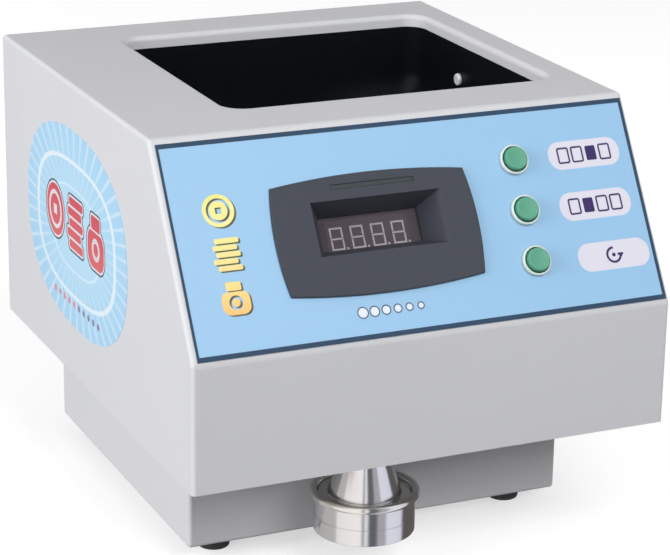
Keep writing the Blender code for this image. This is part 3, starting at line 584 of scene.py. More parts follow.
cover_screws = [f"cover_screw_{number}" for number in (1, 2, 3, 4)]
PAN_HEAD = 0.0024
seats = [Matrix.Translation((*centre_of(node).xy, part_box(node)[0].z + PAN_HEAD)) for node in cover_screws]
screw_group("cover_screws", screw_shape(0.0042, PAN_HEAD, 0.0020, 0.0115), seats, zinc, cover_screws, 0.0021)

# ---- Disc, its bearing and the belt drive ----
# A ground steel disc on a steel shaft in a turned housing. A rubber belt drives it from a small motor,
# whose pulley is turned from aluminium.
disc_centre = centre_of("counting_disc")
motor_centre = centre_of("drive_motor")


def lathe_turned(name, colour, centre, roughness=(0.16, 0.30), lines=2600.0, depth=0.10):
    """Metal turned on a lathe: rings round the axis through centre, which show as fine lines."""
    finish = new_finish(name)
    from_axis = finish.node("VectorMath", {"operation": "SUBTRACT"}, {0: finish.place(), 1: (*centre.xy, 0)})
    x = finish.node("SeparateXYZ", inputs={0: from_axis})
    y, z = x.part(1), x.part(2)
    radius = (x * x + y * y).math("SQRT")
    rings = finish.node("CombineXYZ", inputs={0: radius, 1: z, 2: 0.0})
    fine = finish.noise(lines, 2.0, 0.6, rings)
    broad = finish.noise(lines / 12, 2.0, 0.5, rings)
    return finish.surface(Base_Color=finish.blend(broad, [part * 0.90 for part in colour], colour), Metallic=1.0,
                          Roughness=finish.between(fine, *roughness), Normal=finish.bump(fine, depth, 0.00015))


def drawn_steel(name, colour, scale=(2, 2, 900), roughness=(0.28, 0.48)):
    """Ground or drawn steel whose scratches run across the finely scaled axis."""
    finish = new_finish(name)
    scratches = finish.noise(1.0, 3.0, 0.6, finish.stretched(scale))
    return finish.varied(scratches, [part * 0.85 for part in colour], colour, roughness,
                         (scratches, 0.15, 0.0001), Metallic=1.0)


ALUMINIUM = (0.78, 0.78, 0.78)
disc_steel = lathe_turned("disc_steel", (0.60, 0.61, 0.62), disc_centre, (0.22, 0.40), 1800.0, 0.12)
drive_metal = lathe_turned("drive_aluminium", ALUMINIUM, disc_centre, (0.22, 0.38))
bright_steel = drawn_steel("bright_steel", (0.58, 0.59, 0.60))
refinish(drive_metal, "bearing_housing", "driven_pulley")
refinish(lathe_turned("motor_pulley_aluminium", ALUMINIUM, motor_centre, (0.22, 0.38)), "motor_pulley")
refinish(bright_steel, "disc_shaft", "motor_shaft", "lower_bearing", "upper_bearing", "bed_pillar_1", "bed_pillar_2",
         "bed_pillar_3", "bed_pillar_4", "guide_arm", "stop_plunger")
refinish(drawn_steel("motor_can", (0.46, 0.47, 0.48), (40, 40, 700), (0.30, 0.50)), "drive_motor")
refinish(rubber("belt_rubber", (0.024, 0.024, 0.024)), "drive_belt")


def make_disc():
    low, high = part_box("counting_disc")
    radius = (high.y - low.y) / 2
    top = high.z
    where = Matrix.Translation((disc_centre.x, disc_centre.y, 0))
    profile = [(0.0053, top), (0.0053, low.z), (0.012, low.z), (0.012, top - 0.005), (radius, top - 0.005)]
    profile += arc((radius - 0.0008, top - 0.0008), 0.0008, 0, 90) + [(0.032, top), (0.0315, top - 0.0005),
                                                                       (0.0285, top - 0.0005), (0.028, top)]
    disc = draft("disc_plate", turned(profile, 160), where)
    complete(disc, disc_steel, "disc_rotor", ["counting_disc"])
    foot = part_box("disc_cone")[0].z
    slope = [(0.026, foot), (0.026, foot + 0.0010)] + arc((0.0252, foot + 0.0010), 0.0008, 0, 60)
    slope += [(0.0200, foot + 0.0042), (0.0140, foot + 0.0090), (0.0095, foot + 0.0128), (0.0070, foot + 0.0150)]
    slope += arc((0.0, foot + 0.0105), 0.0070, 42, 90, 8)
    cone = draft("disc_nose", turned([(0, foot)] + slope, 96), where)
    complete(cone, drive_metal, "disc_rotor", ["disc_cone"])


make_disc()

# ---- Coin bed, chute and what works on the coins ----
# A milled plate round the disc with the exit track, a bent steel chute, a black forked sensor, a sprung
# guide arm and the stop solenoid.
refinish(drawn_steel("milled_plate", (0.74, 0.74, 0.75), (700, 5, 5), (0.25, 0.42)), "coin_bed", "coin_chute")
refinish(black_plastic, "count_sensor")

# ---- Hopper bowl ----
# Black plastic sheet, vacuum-formed from the rectangular mouth down to a round well over the disc. Two
# screws hold it to tabs of the cover's lip.
BOWL_POINTS = 256
bowl_low, bowl_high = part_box("hopper_liner")
bowl_centre = (bowl_low + bowl_high) / 2
MOUTH_CORNER = 0.013
WELL_RADIUS = 0.092
WELL_TOP = 0.170
MOUTH_FOOT = 0.226


def mouth_reach(turn, half_width, half_length, corner):
    """The distance from the middle to a rounded rectangle's edge in one direction."""
    x, y = abs(math.cos(turn)), abs(math.sin(turn))
    inner_x, inner_y = half_width - corner, half_length - corner
    to_side = half_width / x if x > 1e-9 else math.inf
    to_end = half_length / y if y > 1e-9 else math.inf
    if to_side * y <= inner_y:
        return to_side
    if to_end * x <= inner_x:
        return to_end
    along = x * inner_x + y * inner_y
    return along + math.sqrt(along * along - inner_x * inner_x - inner_y * inner_y + corner * corner)


def bowl_ring(height, thickness):
    """One level of the bowl, blended between the round well and the mouth."""
    share = min(max((height - WELL_TOP) / (MOUTH_FOOT - WELL_TOP), 0), 1)
    share = share * share * (3 - 2 * share)
    half_width = (bowl_high.x - bowl_low.x) / 2 - WALL + thickness
    half_length = (bowl_high.y - bowl_low.y) / 2 - WALL + thickness
    ring = []
    for number in range(BOWL_POINTS):
        turn = 2 * math.pi * (number + 0.5) / BOWL_POINTS
        wide = mouth_reach(turn, half_width, half_length, MOUTH_CORNER + thickness)
        reach = (WELL_RADIUS + thickness) * (1 - share) + wide * share
        ring.append((disc_centre.x + reach * math.cos(turn), bowl_centre.y + reach * math.sin(turn), height))
    return ring


def skin(rings, ends="open"):
    """Joins rings of points into a surface, and closes it round or at both ends."""
    shape = bmesh.new()
    loops = [[shape.verts.new(point) for point in ring] for ring in rings]
    pairs = list(zip(loops, loops[1:]))
    if ends == "round":
        pairs.append((loops[-1], loops[0]))
    for lower, upper in pairs:
        for here in range(len(lower)):
            after = (here + 1) % len(lower)
            shape.faces.new((lower[here], lower[after], upper[after], upper[here]))
    if ends == "capped":
        shape.faces.new(loops[0])
        shape.faces.new(loops[-1])
    return shape


def make_bowl():
    levels = [bowl_low.z, 0.163] + [WELL_TOP + 0.004 * step for step in range(15)] + [0.242, bowl_high.z]
    inside = [bowl_ring(level, 0.0) for level in levels]
    outside = [bowl_ring(level, WALL) for level in reversed(levels)]
    bowl = draft("hopper_bowl", skin(inside + outside, "round"))
    complete(bowl, bowl_plastic, nodes=["hopper_liner"], sharp=50)


bowl_plastic = moulded("bowl_plastic", (0.0025, 0.0038, 0.0046), (0.34, 0.46), 900.0, 0.22, 0.22)
make_bowl()
LINER_SCREW_LENGTH = 0.009
liner_screws = ["liner_screw_1", "liner_screw_2"]
seats = []
for node, side in zip(liner_screws, (-1, 1)):
    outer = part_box(node)[side > 0].x
    seats.append(Matrix.Translation((outer - side * LINER_SCREW_LENGTH, *centre_of(node).yz))
                 @ Matrix.Rotation(side * math.pi / 2, 4, "Y"))
# The liner screws' plating is near white and only partly metallic: painted highlight, standing in for the glint on
# their heads.
screw_plate_painted_glint = plated("screw_plate_painted_glint", (0.90, 0.90, 0.92), (0.30, 0.42), 0.35)
screw_group("liner_screws", screw_shape(0.0040, 0.0022, 0.0018, LINER_SCREW_LENGTH), seats, screw_plate_painted_glint, liner_screws,
            0.0016)

# ---- Cover ----
# Sheet steel folded and welded into one shell, ground smooth and painted. The hopper's mouth has a
# turned-down lip with a rounded edge.
BEND_HEIGHT = 0.076
SETBACK = 0.068
LIP_DEPTH = 0.008
LIP_THICKNESS = 0.004
LIP_RADIUS = 0.0034
cover_low, cover_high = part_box("cover")
lean = math.atan2(SETBACK, cover_high.z - cover_low.z - BEND_HEIGHT)
bend = cover_low.z + BEND_HEIGHT
panel = Matrix.Translation((0, cover_low.y, bend)) @ Matrix.Rotation(math.pi / 2 - lean, 4, "X")
mouth_centre = (disc_centre.x, bowl_centre.y)
mouth_width = 2 * (disc_centre.x - bowl_low.x - WALL - GAP)
mouth_length = 2 * (bowl_centre.y - bowl_low.y - WALL - GAP)


def housing_outline(inset, overrun):
    """The housing seen from its side, moved in all round by inset, and running on below by overrun."""
    below = cover_low.z - overrun
    return [
        (cover_low.y + inset, below),
        (cover_low.y + inset, bend - inset * math.tan(lean / 2)),
        (cover_low.y + SETBACK + inset * (1 - math.sin(lean)) / math.cos(lean), cover_high.z - inset),
        (cover_high.y - inset, cover_high.z - inset),
        (cover_high.y - inset, below),
    ]


def round_the_mouth(spread):
    """The outline of the hopper's mouth, a rectangle with round corners, moved outwards by spread."""
    points = []
    for corner, (side, end) in enumerate(((1, 1), (-1, 1), (-1, -1), (1, -1))):
        middle = (mouth_centre[0] + side * (mouth_width / 2 - MOUTH_CORNER),
                  mouth_centre[1] + end * (mouth_length / 2 - MOUTH_CORNER))
        points += arc(middle, MOUTH_CORNER + spread, 90 * corner, 90 * corner + 90, 12)
    return points


def mouth_cutter():
    """The opening, widening in a quarter circle at the top, so that the lip's edge comes out round."""
    levels = [(cover_high.z - 0.03, 0.0)]
    levels += [(height, spread) for spread, height in
               [(LIP_RADIUS - x, z) for x, z in arc((0, cover_high.z - LIP_RADIUS), LIP_RADIUS, 0, 90, 8)]]
    levels.append((cover_high.z + 0.01, LIP_RADIUS))
    return skin([[(x, y, height) for x, y in round_the_mouth(spread)] for height, spread in levels], "capped")


DISPLAY_AT = (-0.0254, 0.0622)
BEZEL_BODY = (0.085, 0.044)
BUTTONS_ACROSS = 0.0688
BUTTONS_UP = (0.0949, 0.0644, 0.0339)
BUTTON_HOLE = 0.0087


def panel_cutters(reach):
    """Openings for the display and the buttons, in the panel's own directions."""
    half = (BEZEL_BODY[0] / 2 + 2 * GAP, BEZEL_BODY[1] / 2 + 2 * GAP)
    shapes = [block((DISPLAY_AT[0] - half[0], DISPLAY_AT[1] - half[1], -reach),
                    (DISPLAY_AT[0] + half[0], DISPLAY_AT[1] + half[1], reach))]
    for up in BUTTONS_UP:
        shapes.append(rod(BUTTON_HOLE, (BUTTONS_ACROSS, up, -reach), (BUTTONS_ACROSS, up, reach), 64))
    return shapes


def make_cover():
    half = (cover_high.x - cover_low.x) / 2
    cover = draft("cover_shell", prism(housing_outline(0, 0.012), -half, half, "X"))
    round_edges(cover, EDGE_RADIUS, 5)
    combine(cover, [prism(housing_outline(WALL, 0.020), WALL - half, half - WALL, "X")], "DIFFERENCE")
    extras = [prism(round_the_mouth(LIP_THICKNESS), cover_high.z - LIP_DEPTH, cover_high.z - WALL / 2)]
    for node in cover_screws:
        x, y, _ = centre_of(node)
        inner, outer = sorted((x - math.copysign(0.006, x), math.copysign(half - WALL / 2, x)))
        extras.append(block((inner, y - 0.008, cover_low.z + 0.0026), (outer, y + 0.008, cover_low.z + 0.0163)))
    combine(cover, extras, "UNION")
    combine(cover, [mouth_cutter()], "DIFFERENCE")
    combine(cover, panel_cutters(0.004), "DIFFERENCE", panel)
    combine(cover, [block((-1, -1, cover_low.z - 0.1), (1, 1, cover_low.z))], "DIFFERENCE")
    complete(cover, paint, nodes=["cover"])


make_cover()

# ---- Printed panel film ----
# A polyester film, printed in colour from behind and stuck over the whole slope: pale blue with a navy
# border, three pale fields with what each button sets, a column of coin pictures and a row of small circles.
FILM_THICKNESS = 0.0004
film_top = GAP + FILM_THICKNESS
on_film = film_top + GAP
SKY = (0.228, 0.403, 0.584)
NAVY = (0.010, 0.035, 0.075)
PALE = (0.53, 0.52, 0.59)
INK = (0.022, 0.008, 0.075)
OLIVE = (0.065, 0.070, 0.030)
PICTURE = 0.019
FILM_LOW = (-0.1463, 0.0018)
FILM_HIGH = (0.1478, 0.1258)


class Flat:
    """Shapes drawn on a plane: each gives how far a point is outside the shape, in metres."""

    def __init__(self, across, up):
        self.across = across
        self.up = up

    def at(self, across, up):
        return Flat(self.across - across, self.up - up)

    def circle(self, radius):
        return (self.across * self.across + self.up * self.up).math("SQRT") - radius

    def box(self, half_width, half_height, corner):
        over_x = (self.across.math("ABSOLUTE") - (half_width - corner)).math("MAXIMUM", 0.0)
        over_y = (self.up.math("ABSOLUTE") - (half_height - corner)).math("MAXIMUM", 0.0)
        return (over_x * over_x + over_y * over_y).math("SQRT") - corner


def outline_of(distance, half_stroke):
    return distance.math("ABSOLUTE") - half_stroke


def union(*distances):
    nearest = distances[0]
    for distance in distances[1:]:
        nearest = nearest.math("MINIMUM", distance)
    return nearest


def without(distance, hole):
    return distance.math("MAXIMUM", hole * -1)


PRINT_EDGE = 0.00012


def inked(colour, distance, ink, edge=PRINT_EDGE):
    """A colour with an ink printed over it inside a shape."""
    return colour.finish.blend((0.5 - distance / edge).held(), colour, ink)


def coin_picture(plane, size):
    """A coin seen flat, with a raised rim and a square hole in its ring-shaped middle."""
    middle = without(plane.circle(size * 0.29), plane.box(size * 0.095, size * 0.095, 0.0001))
    return union(outline_of(plane.circle(size * 0.435), size * 0.062), middle)


def stack_picture(plane, size):
    """Five coins stacked, seen from the side."""
    bars = [plane.at(shift * size, (level - 2) * size * 0.205).box(size * 0.38, size * 0.078, size * 0.05)
            for level, shift in enumerate((0.04, -0.06, 0.05, -0.02, 0.06))]
    return union(*bars)


def bag_picture(plane, size):
    """A tied coin bag with a coin on it."""
    bag = plane.at(0, -size * 0.13).box(size * 0.44, size * 0.36, size * 0.26)
    neck = plane.at(0, size * 0.36).box(size * 0.24, size * 0.13, size * 0.05)
    mark = outline_of(plane.at(0, -size * 0.13).circle(size * 0.17), size * 0.045)
    return union(without(without(bag, mark), plane.at(0, size * 0.225).box(size * 0.5, size * 0.03, 0.0001)), neck)


def digit_fields(plane, chosen):
    """Four digit boxes, of which the chosen one is solid."""
    boxes = []
    for number in range(4):
        box = plane.at((number - 1.5) * 0.0092, 0).box(0.0034, 0.0044, 0.0009)
        boxes.append(box if number == chosen else outline_of(box, 0.00055))
    return union(*boxes)


def turn_arrow(plane):
    """Three quarters of a ring that ends in an arrow head, round a dot."""
    ring = without(outline_of(plane.circle(0.0043), 0.0007), plane.at(0.0030, 0.0030).box(0.0026, 0.0026, 0.0002))
    return union(ring, plane.at(0.0044, 0.0002).box(0.0019, 0.0007, 0.0002),
                 plane.at(0.0044, -0.0008).box(0.0010, 0.0006, 0.0002), plane.circle(0.0012))


def panel_film():
    finish = new_finish("printed_film")
    flat = finish.node("Mapping", {"vector_type": "TEXTURE"}, {
        "Vector": finish.place(), "Location": panel.translation, "Rotation": (math.pi / 2 - lean, 0, 0)})
    across = finish.node("SeparateXYZ", inputs={0: flat})
    plane = Flat(across, across.part(1))
    tone = finish.noise(9.0, 2.0)
    colour = finish.blend(tone, [part * 0.97 for part in SKY], SKY)
    inside = plane.at((FILM_LOW[0] + 0.0014 + FILM_HIGH[0] - 0.0021) / 2, (FILM_LOW[1] + FILM_HIGH[1]) / 2).box(
        (FILM_HIGH[0] - FILM_LOW[0] - 0.0035) / 2, (FILM_HIGH[1] - FILM_LOW[1] - 0.0056) / 2, 0.0002)
    colour = inked(colour, inside * -1, NAVY)
    for number, place in enumerate(((0.1155, 0.0943), (0.1155, 0.0632), (0.1200, 0.0318))):
        field = plane.at(*place)
        colour = inked(colour, field.box(0.0236, 0.0085, 0.0078), PALE, 4 * PRINT_EDGE)
        colour = inked(colour, digit_fields(field, 2 - number) if number < 2 else turn_arrow(field), INK)
    for up, picture, top, low in ((0.0849, coin_picture, (0.62, 0.58, 0.17), (0.66, 0.60, 0.22)),
                                  (0.0598, stack_picture, (0.64, 0.58, 0.20), (0.66, 0.52, 0.20)),
                                  (0.0348, bag_picture, (0.66, 0.53, 0.17), (0.68, 0.38, 0.12))):
        spot = plane.at(-0.1175, up)
        colour = inked(colour, picture(spot.at(0.0010, -0.0009), PICTURE), OLIVE)
        fade = (spot.up / PICTURE + 0.5).held()
        colour = inked(colour, picture(spot, PICTURE), finish.blend(fade, low, top))
    for number in range(6):
        coin = plane.at(-0.0266 + (number - 2.5) * 0.0072, 0.0173)
        for radius, ink in ((0.0035, (0.030, 0.045, 0.085)), (0.0028, (0.56, 0.60, 0.66))):
            colour = inked(colour, coin.circle(radius - number * 0.00025), ink)
    weave = finish.noise(1600.0, 1.0)
    return finish.surface(Base_Color=colour, Roughness=finish.between(tone, 0.30, 0.38),
                          Normal=finish.bump(weave, 0.05, 0.0002))


film = draft("panel_film", block((*FILM_LOW, GAP), (*FILM_HIGH, film_top)), panel)
combine(film, panel_cutters(0.003), "DIFFERENCE", panel)
complete(film, panel_film(), nodes=["front_label"])

# ---- Display ----
# A dark grey moulded frame with bowed sides and a funnel-shaped recess, a smoked window at the bottom of
# it, and behind that a four-digit module with pale unlit segments that glow faintly with painted light.
BEZEL_WIDTH = 0.1201
BEZEL_HEIGHT = 0.0630
TOP_BULGE = 0.0040
SIDE_BULGE = 0.0030
SIDE_POINTS = 24
BEZEL_RISE = 0.0020
RECESS_DEPTH = 0.0155
RECESS_SHIFT = (0.0020, 0.0048)
RECESS_MOUTH = (0.0802, 0.0316)
RECESS_FLOOR = (0.0624, 0.0202)
WINDOW = (0.0679, 0.0264)
MODULE_POCKET = (0.0685, 0.0270)
STRIP_LOW = (-0.0242, 0.0268)
STRIP_HIGH = (0.0274, 0.0294)
DIGITS_AT = (0.0013, 0.0024)
DIGIT_PITCH = 0.0129
DIGIT_HEIGHT = 0.0134
DIGIT_WIDTH = 0.0081
STROKE = 0.0010
display = panel @ Matrix.Translation((*DISPLAY_AT, 0))
recess = display @ Matrix.Translation((*RECESS_SHIFT, 0))
bezel_face = on_film + BEZEL_RISE
recess_floor = bezel_face - RECESS_DEPTH
module_top = recess_floor - 0.0037


def bulged_outline(width, height, bulges):
    """A rectangle whose four sides bow outwards as circular arcs: bulges for the long and the short sides."""
    points = []
    for side in range(4):
        span, reach = ((width, height), (height, width))[side % 2]
        bulge = bulges[side % 2]
        radius = (span * span / 4 + bulge * bulge) / (2 * bulge)
        sweep = math.asin(span / 2 / radius)
        quarter = math.pi / 2 * side
        for step in range(SIDE_POINTS):
            turn = sweep * (1 - 2 * step / SIDE_POINTS)
            along = radius * math.sin(turn)
            out = reach / 2 + radius * (math.cos(turn) - math.cos(sweep))
            points.append((along * math.cos(quarter) - out * math.sin(quarter),
                           along * math.sin(quarter) + out * math.cos(quarter)))
    return points


def recess_ring(level, flare=0.0):
    """The recess at one level. Its right edge runs out into the face by flare."""
    share = (level - recess_floor) / RECESS_DEPTH
    half = [(floor + (mouth - floor) * share) / 2 for floor, mouth in zip(RECESS_FLOOR, RECESS_MOUTH)]
    return [(-half[0], -half[1], level), (half[0] + flare, -half[1], level), (half[0] + flare, half[1], level),
            (-half[0], half[1], level)]


def plate(width, height, low, high):
    return block((-width / 2, -height / 2, low), (width / 2, height / 2, high))


def make_bezel():
    rings = []
    for inset, level in [(0, on_film)] + [(0.0008 - x, z) for x, z in arc((0, bezel_face - 0.0006), 0.0006, 0, 90)]:
        outline = bulged_outline(BEZEL_WIDTH - 2 * inset, BEZEL_HEIGHT - 2 * inset, (TOP_BULGE, SIDE_BULGE))
        rings.append([(x, y, level) for x, y in outline])
    bezel = draft("display_frame", skin(rings, "capped"), display)
    combine(bezel, [plate(*BEZEL_BODY, recess_floor - 0.0105, on_film + 0.001)], "UNION", display)
    flared = [(0.0030, 0.0), (0.0018, 0.00015), (0.0009, 0.0005), (0.0003, 0.0010), (-0.00005, 0.0018),
              (-0.002, 0.0200)]
    funnel = skin([recess_ring(recess_floor)] + [recess_ring(bezel_face - down, flare) for down, flare in flared],
                  "capped")
    combine(bezel, [funnel, plate(*RECESS_FLOOR, recess_floor - 0.004, recess_floor + 0.001),
                    plate(*MODULE_POCKET, recess_floor - 0.0125, recess_floor - 0.0012)], "DIFFERENCE", recess)
    groove = block((STRIP_LOW[0] - 0.0002, STRIP_LOW[1] - 0.0002, bezel_face - 0.0008),
                   (STRIP_HIGH[0] + 0.0002, STRIP_HIGH[1] + 0.0002, bezel_face + 0.001))
    combine(bezel, [groove], "DIFFERENCE", display)
    complete(bezel, bezel_plastic, nodes=["display_bezel"], sharp=30)
    inlay = block((*STRIP_LOW, bezel_face - 0.0009), (*STRIP_HIGH, bezel_face - 0.0004))
    strip = draft("display_strip", inlay, display)
    round_edges(strip, 0.0002, 2)
    complete(strip, strip_plastic)


def make_window():
    pane = draft("display_pane", plate(*WINDOW, recess_floor - 0.0034, recess_floor - 0.0015), recess)
    round_edges(pane, 0.0003, 2)
    finish = new_finish("smoked_acrylic")
    smear = finish.noise(40.0, 4.0)
    acrylic = finish.surface(Base_Color=finish.blend(smear, (0.075, 0.058, 0.070), (0.095, 0.076, 0.090)),
                             Roughness=finish.between(smear, 0.12, 0.24), Alpha=0.42, IOR=1.49)
    complete(pane, acrylic, nodes=["display_window"])


def make_digits():
    """Seven bars and a point for each digit, as low relief on the module's face."""
    shape = bmesh.new()
    wide, high, half, space = DIGIT_WIDTH / 2, DIGIT_HEIGHT / 2, STROKE / 2, 0.00012
    bars = [(0, level, wide, half) for level in (half - high, 0, high - half)]
    bars += [(side * (wide - half), end * high / 2, half, high / 2 - 1.5 * half - space)
             for side in (-1, 1) for end in (-1, 1)]
    for number in range(4):
        for x, y, across, up in bars + [(wide + 0.0016, 0.0006 - high, 0.0006, 0.0006)]:
            x, y = x + DIGITS_AT[0] + (number - 1.5) * DIGIT_PITCH, y + DIGITS_AT[1]
            bar = block((x - across, y - up, module_top - 0.0002), (x + across, y + up, module_top + 0.0001))
            mesh = bpy.data.meshes.new("bar")
            bar.to_mesh(mesh)
            bar.free()
            shape.from_mesh(mesh)
            bpy.data.meshes.remove(mesh)
    digits = draft("digit_segments", shape, display)
    # The segments glow faintly though the display is off: painted light that keeps them pale at the bottom of the
    # deep recess.
    finish = new_finish("segments_with_painted_glow")
    cloud = finish.noise(900.0, 2.0)
    segment_finish_painted_glow = finish.surface(Base_Color=finish.blend(cloud, (0.80, 0.74, 0.80), (0.92, 0.87, 0.92)),
                              Roughness=finish.between(cloud, 0.45, 0.60), Emission_Color=(0.90, 0.80, 0.88),
                              Emission_Strength=0.55)
    complete(digits, segment_finish_painted_glow)


bezel_plastic = moulded("bezel_plastic", (0.031, 0.035, 0.045), (0.46, 0.60), 1500.0, 0.30)
strip_plastic = moulded("strip_plastic", (0.024, 0.034, 0.036), (0.40, 0.52), 1500.0, 0.20)
make_bezel()
make_window()
refinish(moulded("module_face", (0.120, 0.100, 0.118), (0.35, 0.50)), "led_module", "display_board")
make_digits()

# ---- Push buttons ----
# Off-white moulded bodies with a raised rim, screwed through the panel, and green caps with a rounded edge
# and a slightly hollow face that travel into them.
rim_plastic = moulded("rim_plastic", (0.47, 0.53, 0.50), (0.28, 0.38), 2400.0, 0.08)


def cap_plastic():
    """Green plastic, in soft patches a little paler and duller than the rest."""
    finish = new_finish("green_cap_plastic")
    cloud = finish.noise(260.0, 3.0)
    return finish.varied(cloud, (0.060, 0.240, 0.156), (0.086, 0.286, 0.192), (0.30, 0.42),
                         (finish.noise(1800.0), 0.10, 0.0002))


RIM_RADIUS = 0.0090
NECK_RADIUS = 0.0084
BORE_RADIUS = 0.0078
SKIRT_RADIUS = 0.0075
CAP_RADIUS = 0.0069
green_plastic = cap_plastic()
for number, up in enumerate(BUTTONS_UP, 1):
    where = panel @ Matrix.Translation((BUTTONS_ACROSS, up, 0))
    rim = on_film + 0.0022
    body = [(0, -0.020), (NECK_RADIUS, -0.020), (NECK_RADIUS, on_film), (RIM_RADIUS, on_film)]
    body += arc((RIM_RADIUS - 0.0007, rim - 0.0007), 0.0007, 0, 90)
    body += arc((BORE_RADIUS + 0.0003, rim - 0.0003), 0.0003, 90, 180) + [(BORE_RADIUS, -0.007), (0, -0.007)]
    holder = draft(f"button_rim_{number}", turned(body, 96), where)
    complete(holder, rim_plastic, nodes=[f"button_body_{number}"])
    top = on_film + 0.0050
    cap = [(0, -0.0032), (SKIRT_RADIUS, -0.0032), (SKIRT_RADIUS, on_film), (CAP_RADIUS, on_film + 0.0006),
           (CAP_RADIUS, top - 0.0009)] + arc((CAP_RADIUS - 0.0009, top - 0.0009), 0.0009, 10, 90, 7)
    cap += [(0.0050, top - 0.00022), (0.0028, top - 0.00038), (0, top - 0.00042)]
    button = draft(f"button_top_{number}", turned(cap, 96), where)
    complete(button, green_plastic, f"button_{number}", [f"button_cap_{number}"], sharp=40)

# ---- Side films ----
# An oval film on each side of the cover: pale blue with white rays and two white rings, three red coin
# pictures across the middle and a row of small dots under them.
OVAL_CENTRE = (0.0262, 0.1745)
OVAL_HALF = (0.0933, 0.0629)
RING_HALF = (0.0718, 0.0427)
FULLNESS = 0.83
OVAL_POINTS = 128
SIDE_PICTURE = 0.033
RAYS = 44.0
RING_SCALE = 0.055


def oval_outline():
    """An oval a little fuller than an ellipse, as (y, z)."""
    points = []
    for step in range(OVAL_POINTS):
        turn = 2 * math.pi * step / OVAL_POINTS
        points.append([middle + half * math.copysign(abs(way) ** FULLNESS, way)
                       for middle, half, way in zip(OVAL_CENTRE, OVAL_HALF, (math.cos(turn), math.sin(turn)))])
    return points


def side_print():
    finish = new_finish("side_print")
    place = finish.node("SeparateXYZ", inputs={0: finish.place()})
    along, up = place.part(1) - OVAL_CENTRE[0], place.part(2) - OVAL_CENTRE[1]
    plane = Flat(along * -1, up)
    turn = (up * (OVAL_HALF[0] / OVAL_HALF[1])).math("ARCTAN2", along)
    rays = ((turn * RAYS).math("COSINE") * 0.5 + 0.5).math("POWER", 7.0)

    def reach(half, power):
        """How far out a point lies, from 0 in the middle to 1 on an oval, which a higher power makes squarer."""
        terms = [(value / size).math("ABSOLUTE").math("POWER", power) for value, size in zip((along, up), half)]
        return (terms[0] + terms[1]).math("POWER", 1 / power)

    outwards = reach(OVAL_HALF, 2.0).math("MINIMUM", 1.0)
    colour = finish.blend(outwards, (0.36, 0.54, 0.66), (0.27, 0.47, 0.64))
    colour = finish.blend(rays * outwards * 0.8, colour, (0.50, 0.60, 0.68))
    ring_reach = reach(RING_HALF, 2.7)
    for where, half_width, white in ((0.62, 0.0009, (0.46, 0.60, 0.69)), (1.0, 0.0016, (0.54, 0.62, 0.68))):
        ring = outline_of((ring_reach - where) * RING_SCALE, half_width)
        colour = inked(colour, ring, white, 0.0008)
    for across, picture in ((-0.038, coin_picture), (0.0, stack_picture), (0.038, bag_picture)):
        spot = plane.at(across, 0.004)
        shape = picture(spot, SIDE_PICTURE)
        fade = (spot.up / SIDE_PICTURE + 0.5).held()
        red = finish.blend(fade, (0.50, 0.085, 0.095), (0.44, 0.035, 0.060))
        for border, ink in ((0.0026, (0.045, 0.065, 0.100)), (0.0014, (0.53, 0.50, 0.55)), (0.0, red)):
            colour = inked(colour, shape - border, ink)
    for number in range(10):
        dot = plane.at(-0.0405 + number * 0.009, -0.0480).circle(0.0022)
        colour = inked(colour, dot, (0.54, 0.17, 0.21) if number < 5 else (0.16, 0.15, 0.25))
    gloss = finish.noise(30.0)
    return finish.surface(Base_Color=colour, Roughness=finish.between(gloss, 0.30, 0.40),
                          Normal=finish.bump(finish.noise(1500.0), 0.05, 0.0002))


SIDE_FILM_THICKNESS = 0.00015
side_film = side_print()
for side, name in ((-1, "side_film_left"), (1, "side_film_right")):
    low, high = sorted((side * cover_high.x, side * (cover_high.x + SIDE_FILM_THICKNESS)))
    oval = draft(name, prism(oval_outline(), low, high, "X"))
    complete(oval, side_film)

# ---- Coin spout ----
# Turned from aluminium bar: a plain neck, a cone, and a wide collar with a shoulder for the bag ring. It
# hangs from the deck on a flange, and a round nut holds it from above.
spout_low, spout_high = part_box("coin_spout")
spout_centre = (spout_low + spout_high) / 2
spout_metal = lathe_turned("spout_aluminium", (0.86, 0.845, 0.845), spout_centre, (0.10, 0.22), 1500.0, 0.16)
hang = cover_low.z
refinish(spout_metal, "spout_nut")


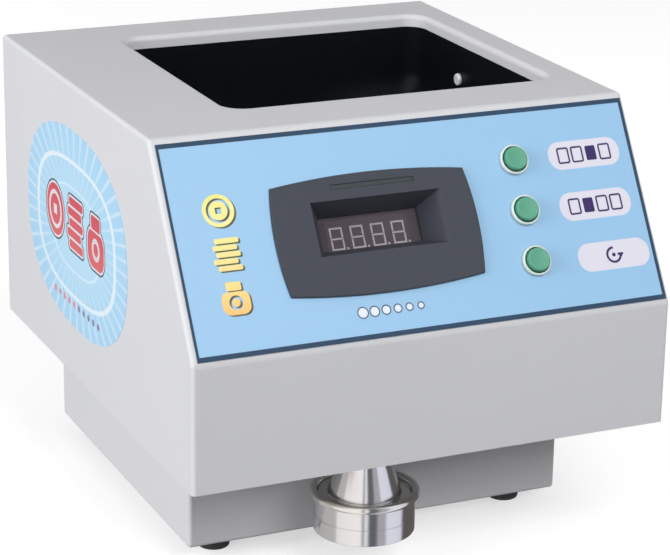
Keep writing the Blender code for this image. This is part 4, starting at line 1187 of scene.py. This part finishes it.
def make_spout():
    shoulder, foot = -0.0353, -0.0558
    outer = [(0.016, 0.012), (0.016, -GAP), (0.021, -GAP), (0.021, -0.004), (0.016, -0.004), (0.016, -0.014)]
    outer += [(0.0163, -0.0155), (0.0218, -0.0322)] + arc((0.0213, -0.0325), 0.0005, 20, -60, 3)
    outer += [(0.0220, -0.0334), (0.0269, -0.0334)] + arc((0.0269, -0.0338), 0.0004, 90, 0, 3)
    outer += [(0.0273, shoulder)] + arc((0.0293, shoulder - 0.0005), 0.0005, 90, 0, 4)
    outer += [(0.0298, -0.0452), (0.0296, -0.0454), (0.0296, -0.0458), (0.0300, -0.0460)]
    outer += arc((0.0295, foot + 0.0005), 0.0005, 0, -90, 4) + arc((0.0274, foot + 0.0004), 0.0004, -90, -180, 3)
    inner = [(0.0270, -0.040), (0.0190, -0.036), (0.0140, -0.020), (0.0140, 0.012)]
    spout = draft("spout_turning", turned(outer + inner, 160),
                  Matrix.Translation((spout_centre.x, spout_centre.y, hang)))
    complete(spout, spout_metal, nodes=["coin_spout"], sharp=24)


make_spout()

# ---- Bag ring ----
# Plated round bar, bent into a ring and welded shut. It lies loose on the spout's shoulder, where it presses
# the bag's hem down, and lifts off towards the housing.
ring_low, ring_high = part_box("bag_ring")
ring_centre = (ring_low + ring_high) / 2
BAR_RADIUS = 0.0025
bar_path = (ring_high.y - ring_low.y) / 2 - BAR_RADIUS


def ring_plate():
    """Bright plating over drawn bar, in patches a little darker than the rest."""
    finish = new_finish("ring_plating")
    cloud = finish.noise(220.0, 4.0, 0.6)
    return finish.varied(cloud, (0.80, 0.77, 0.73), (0.93, 0.90, 0.87), (0.10, 0.24),
                         (finish.noise(1200.0), 0.06, 0.0002), Metallic=1.0)


bar_section = [(bar_path + x, z) for x, z in arc((0, 0), BAR_RADIUS, 0, 345, 23)]
bag_ring = draft("bag_ring_bar", turned(bar_section, 160), Matrix.Translation(ring_centre))
complete(bag_ring, ring_plate(), "bag_ring", ["bag_ring"], sharp=60)
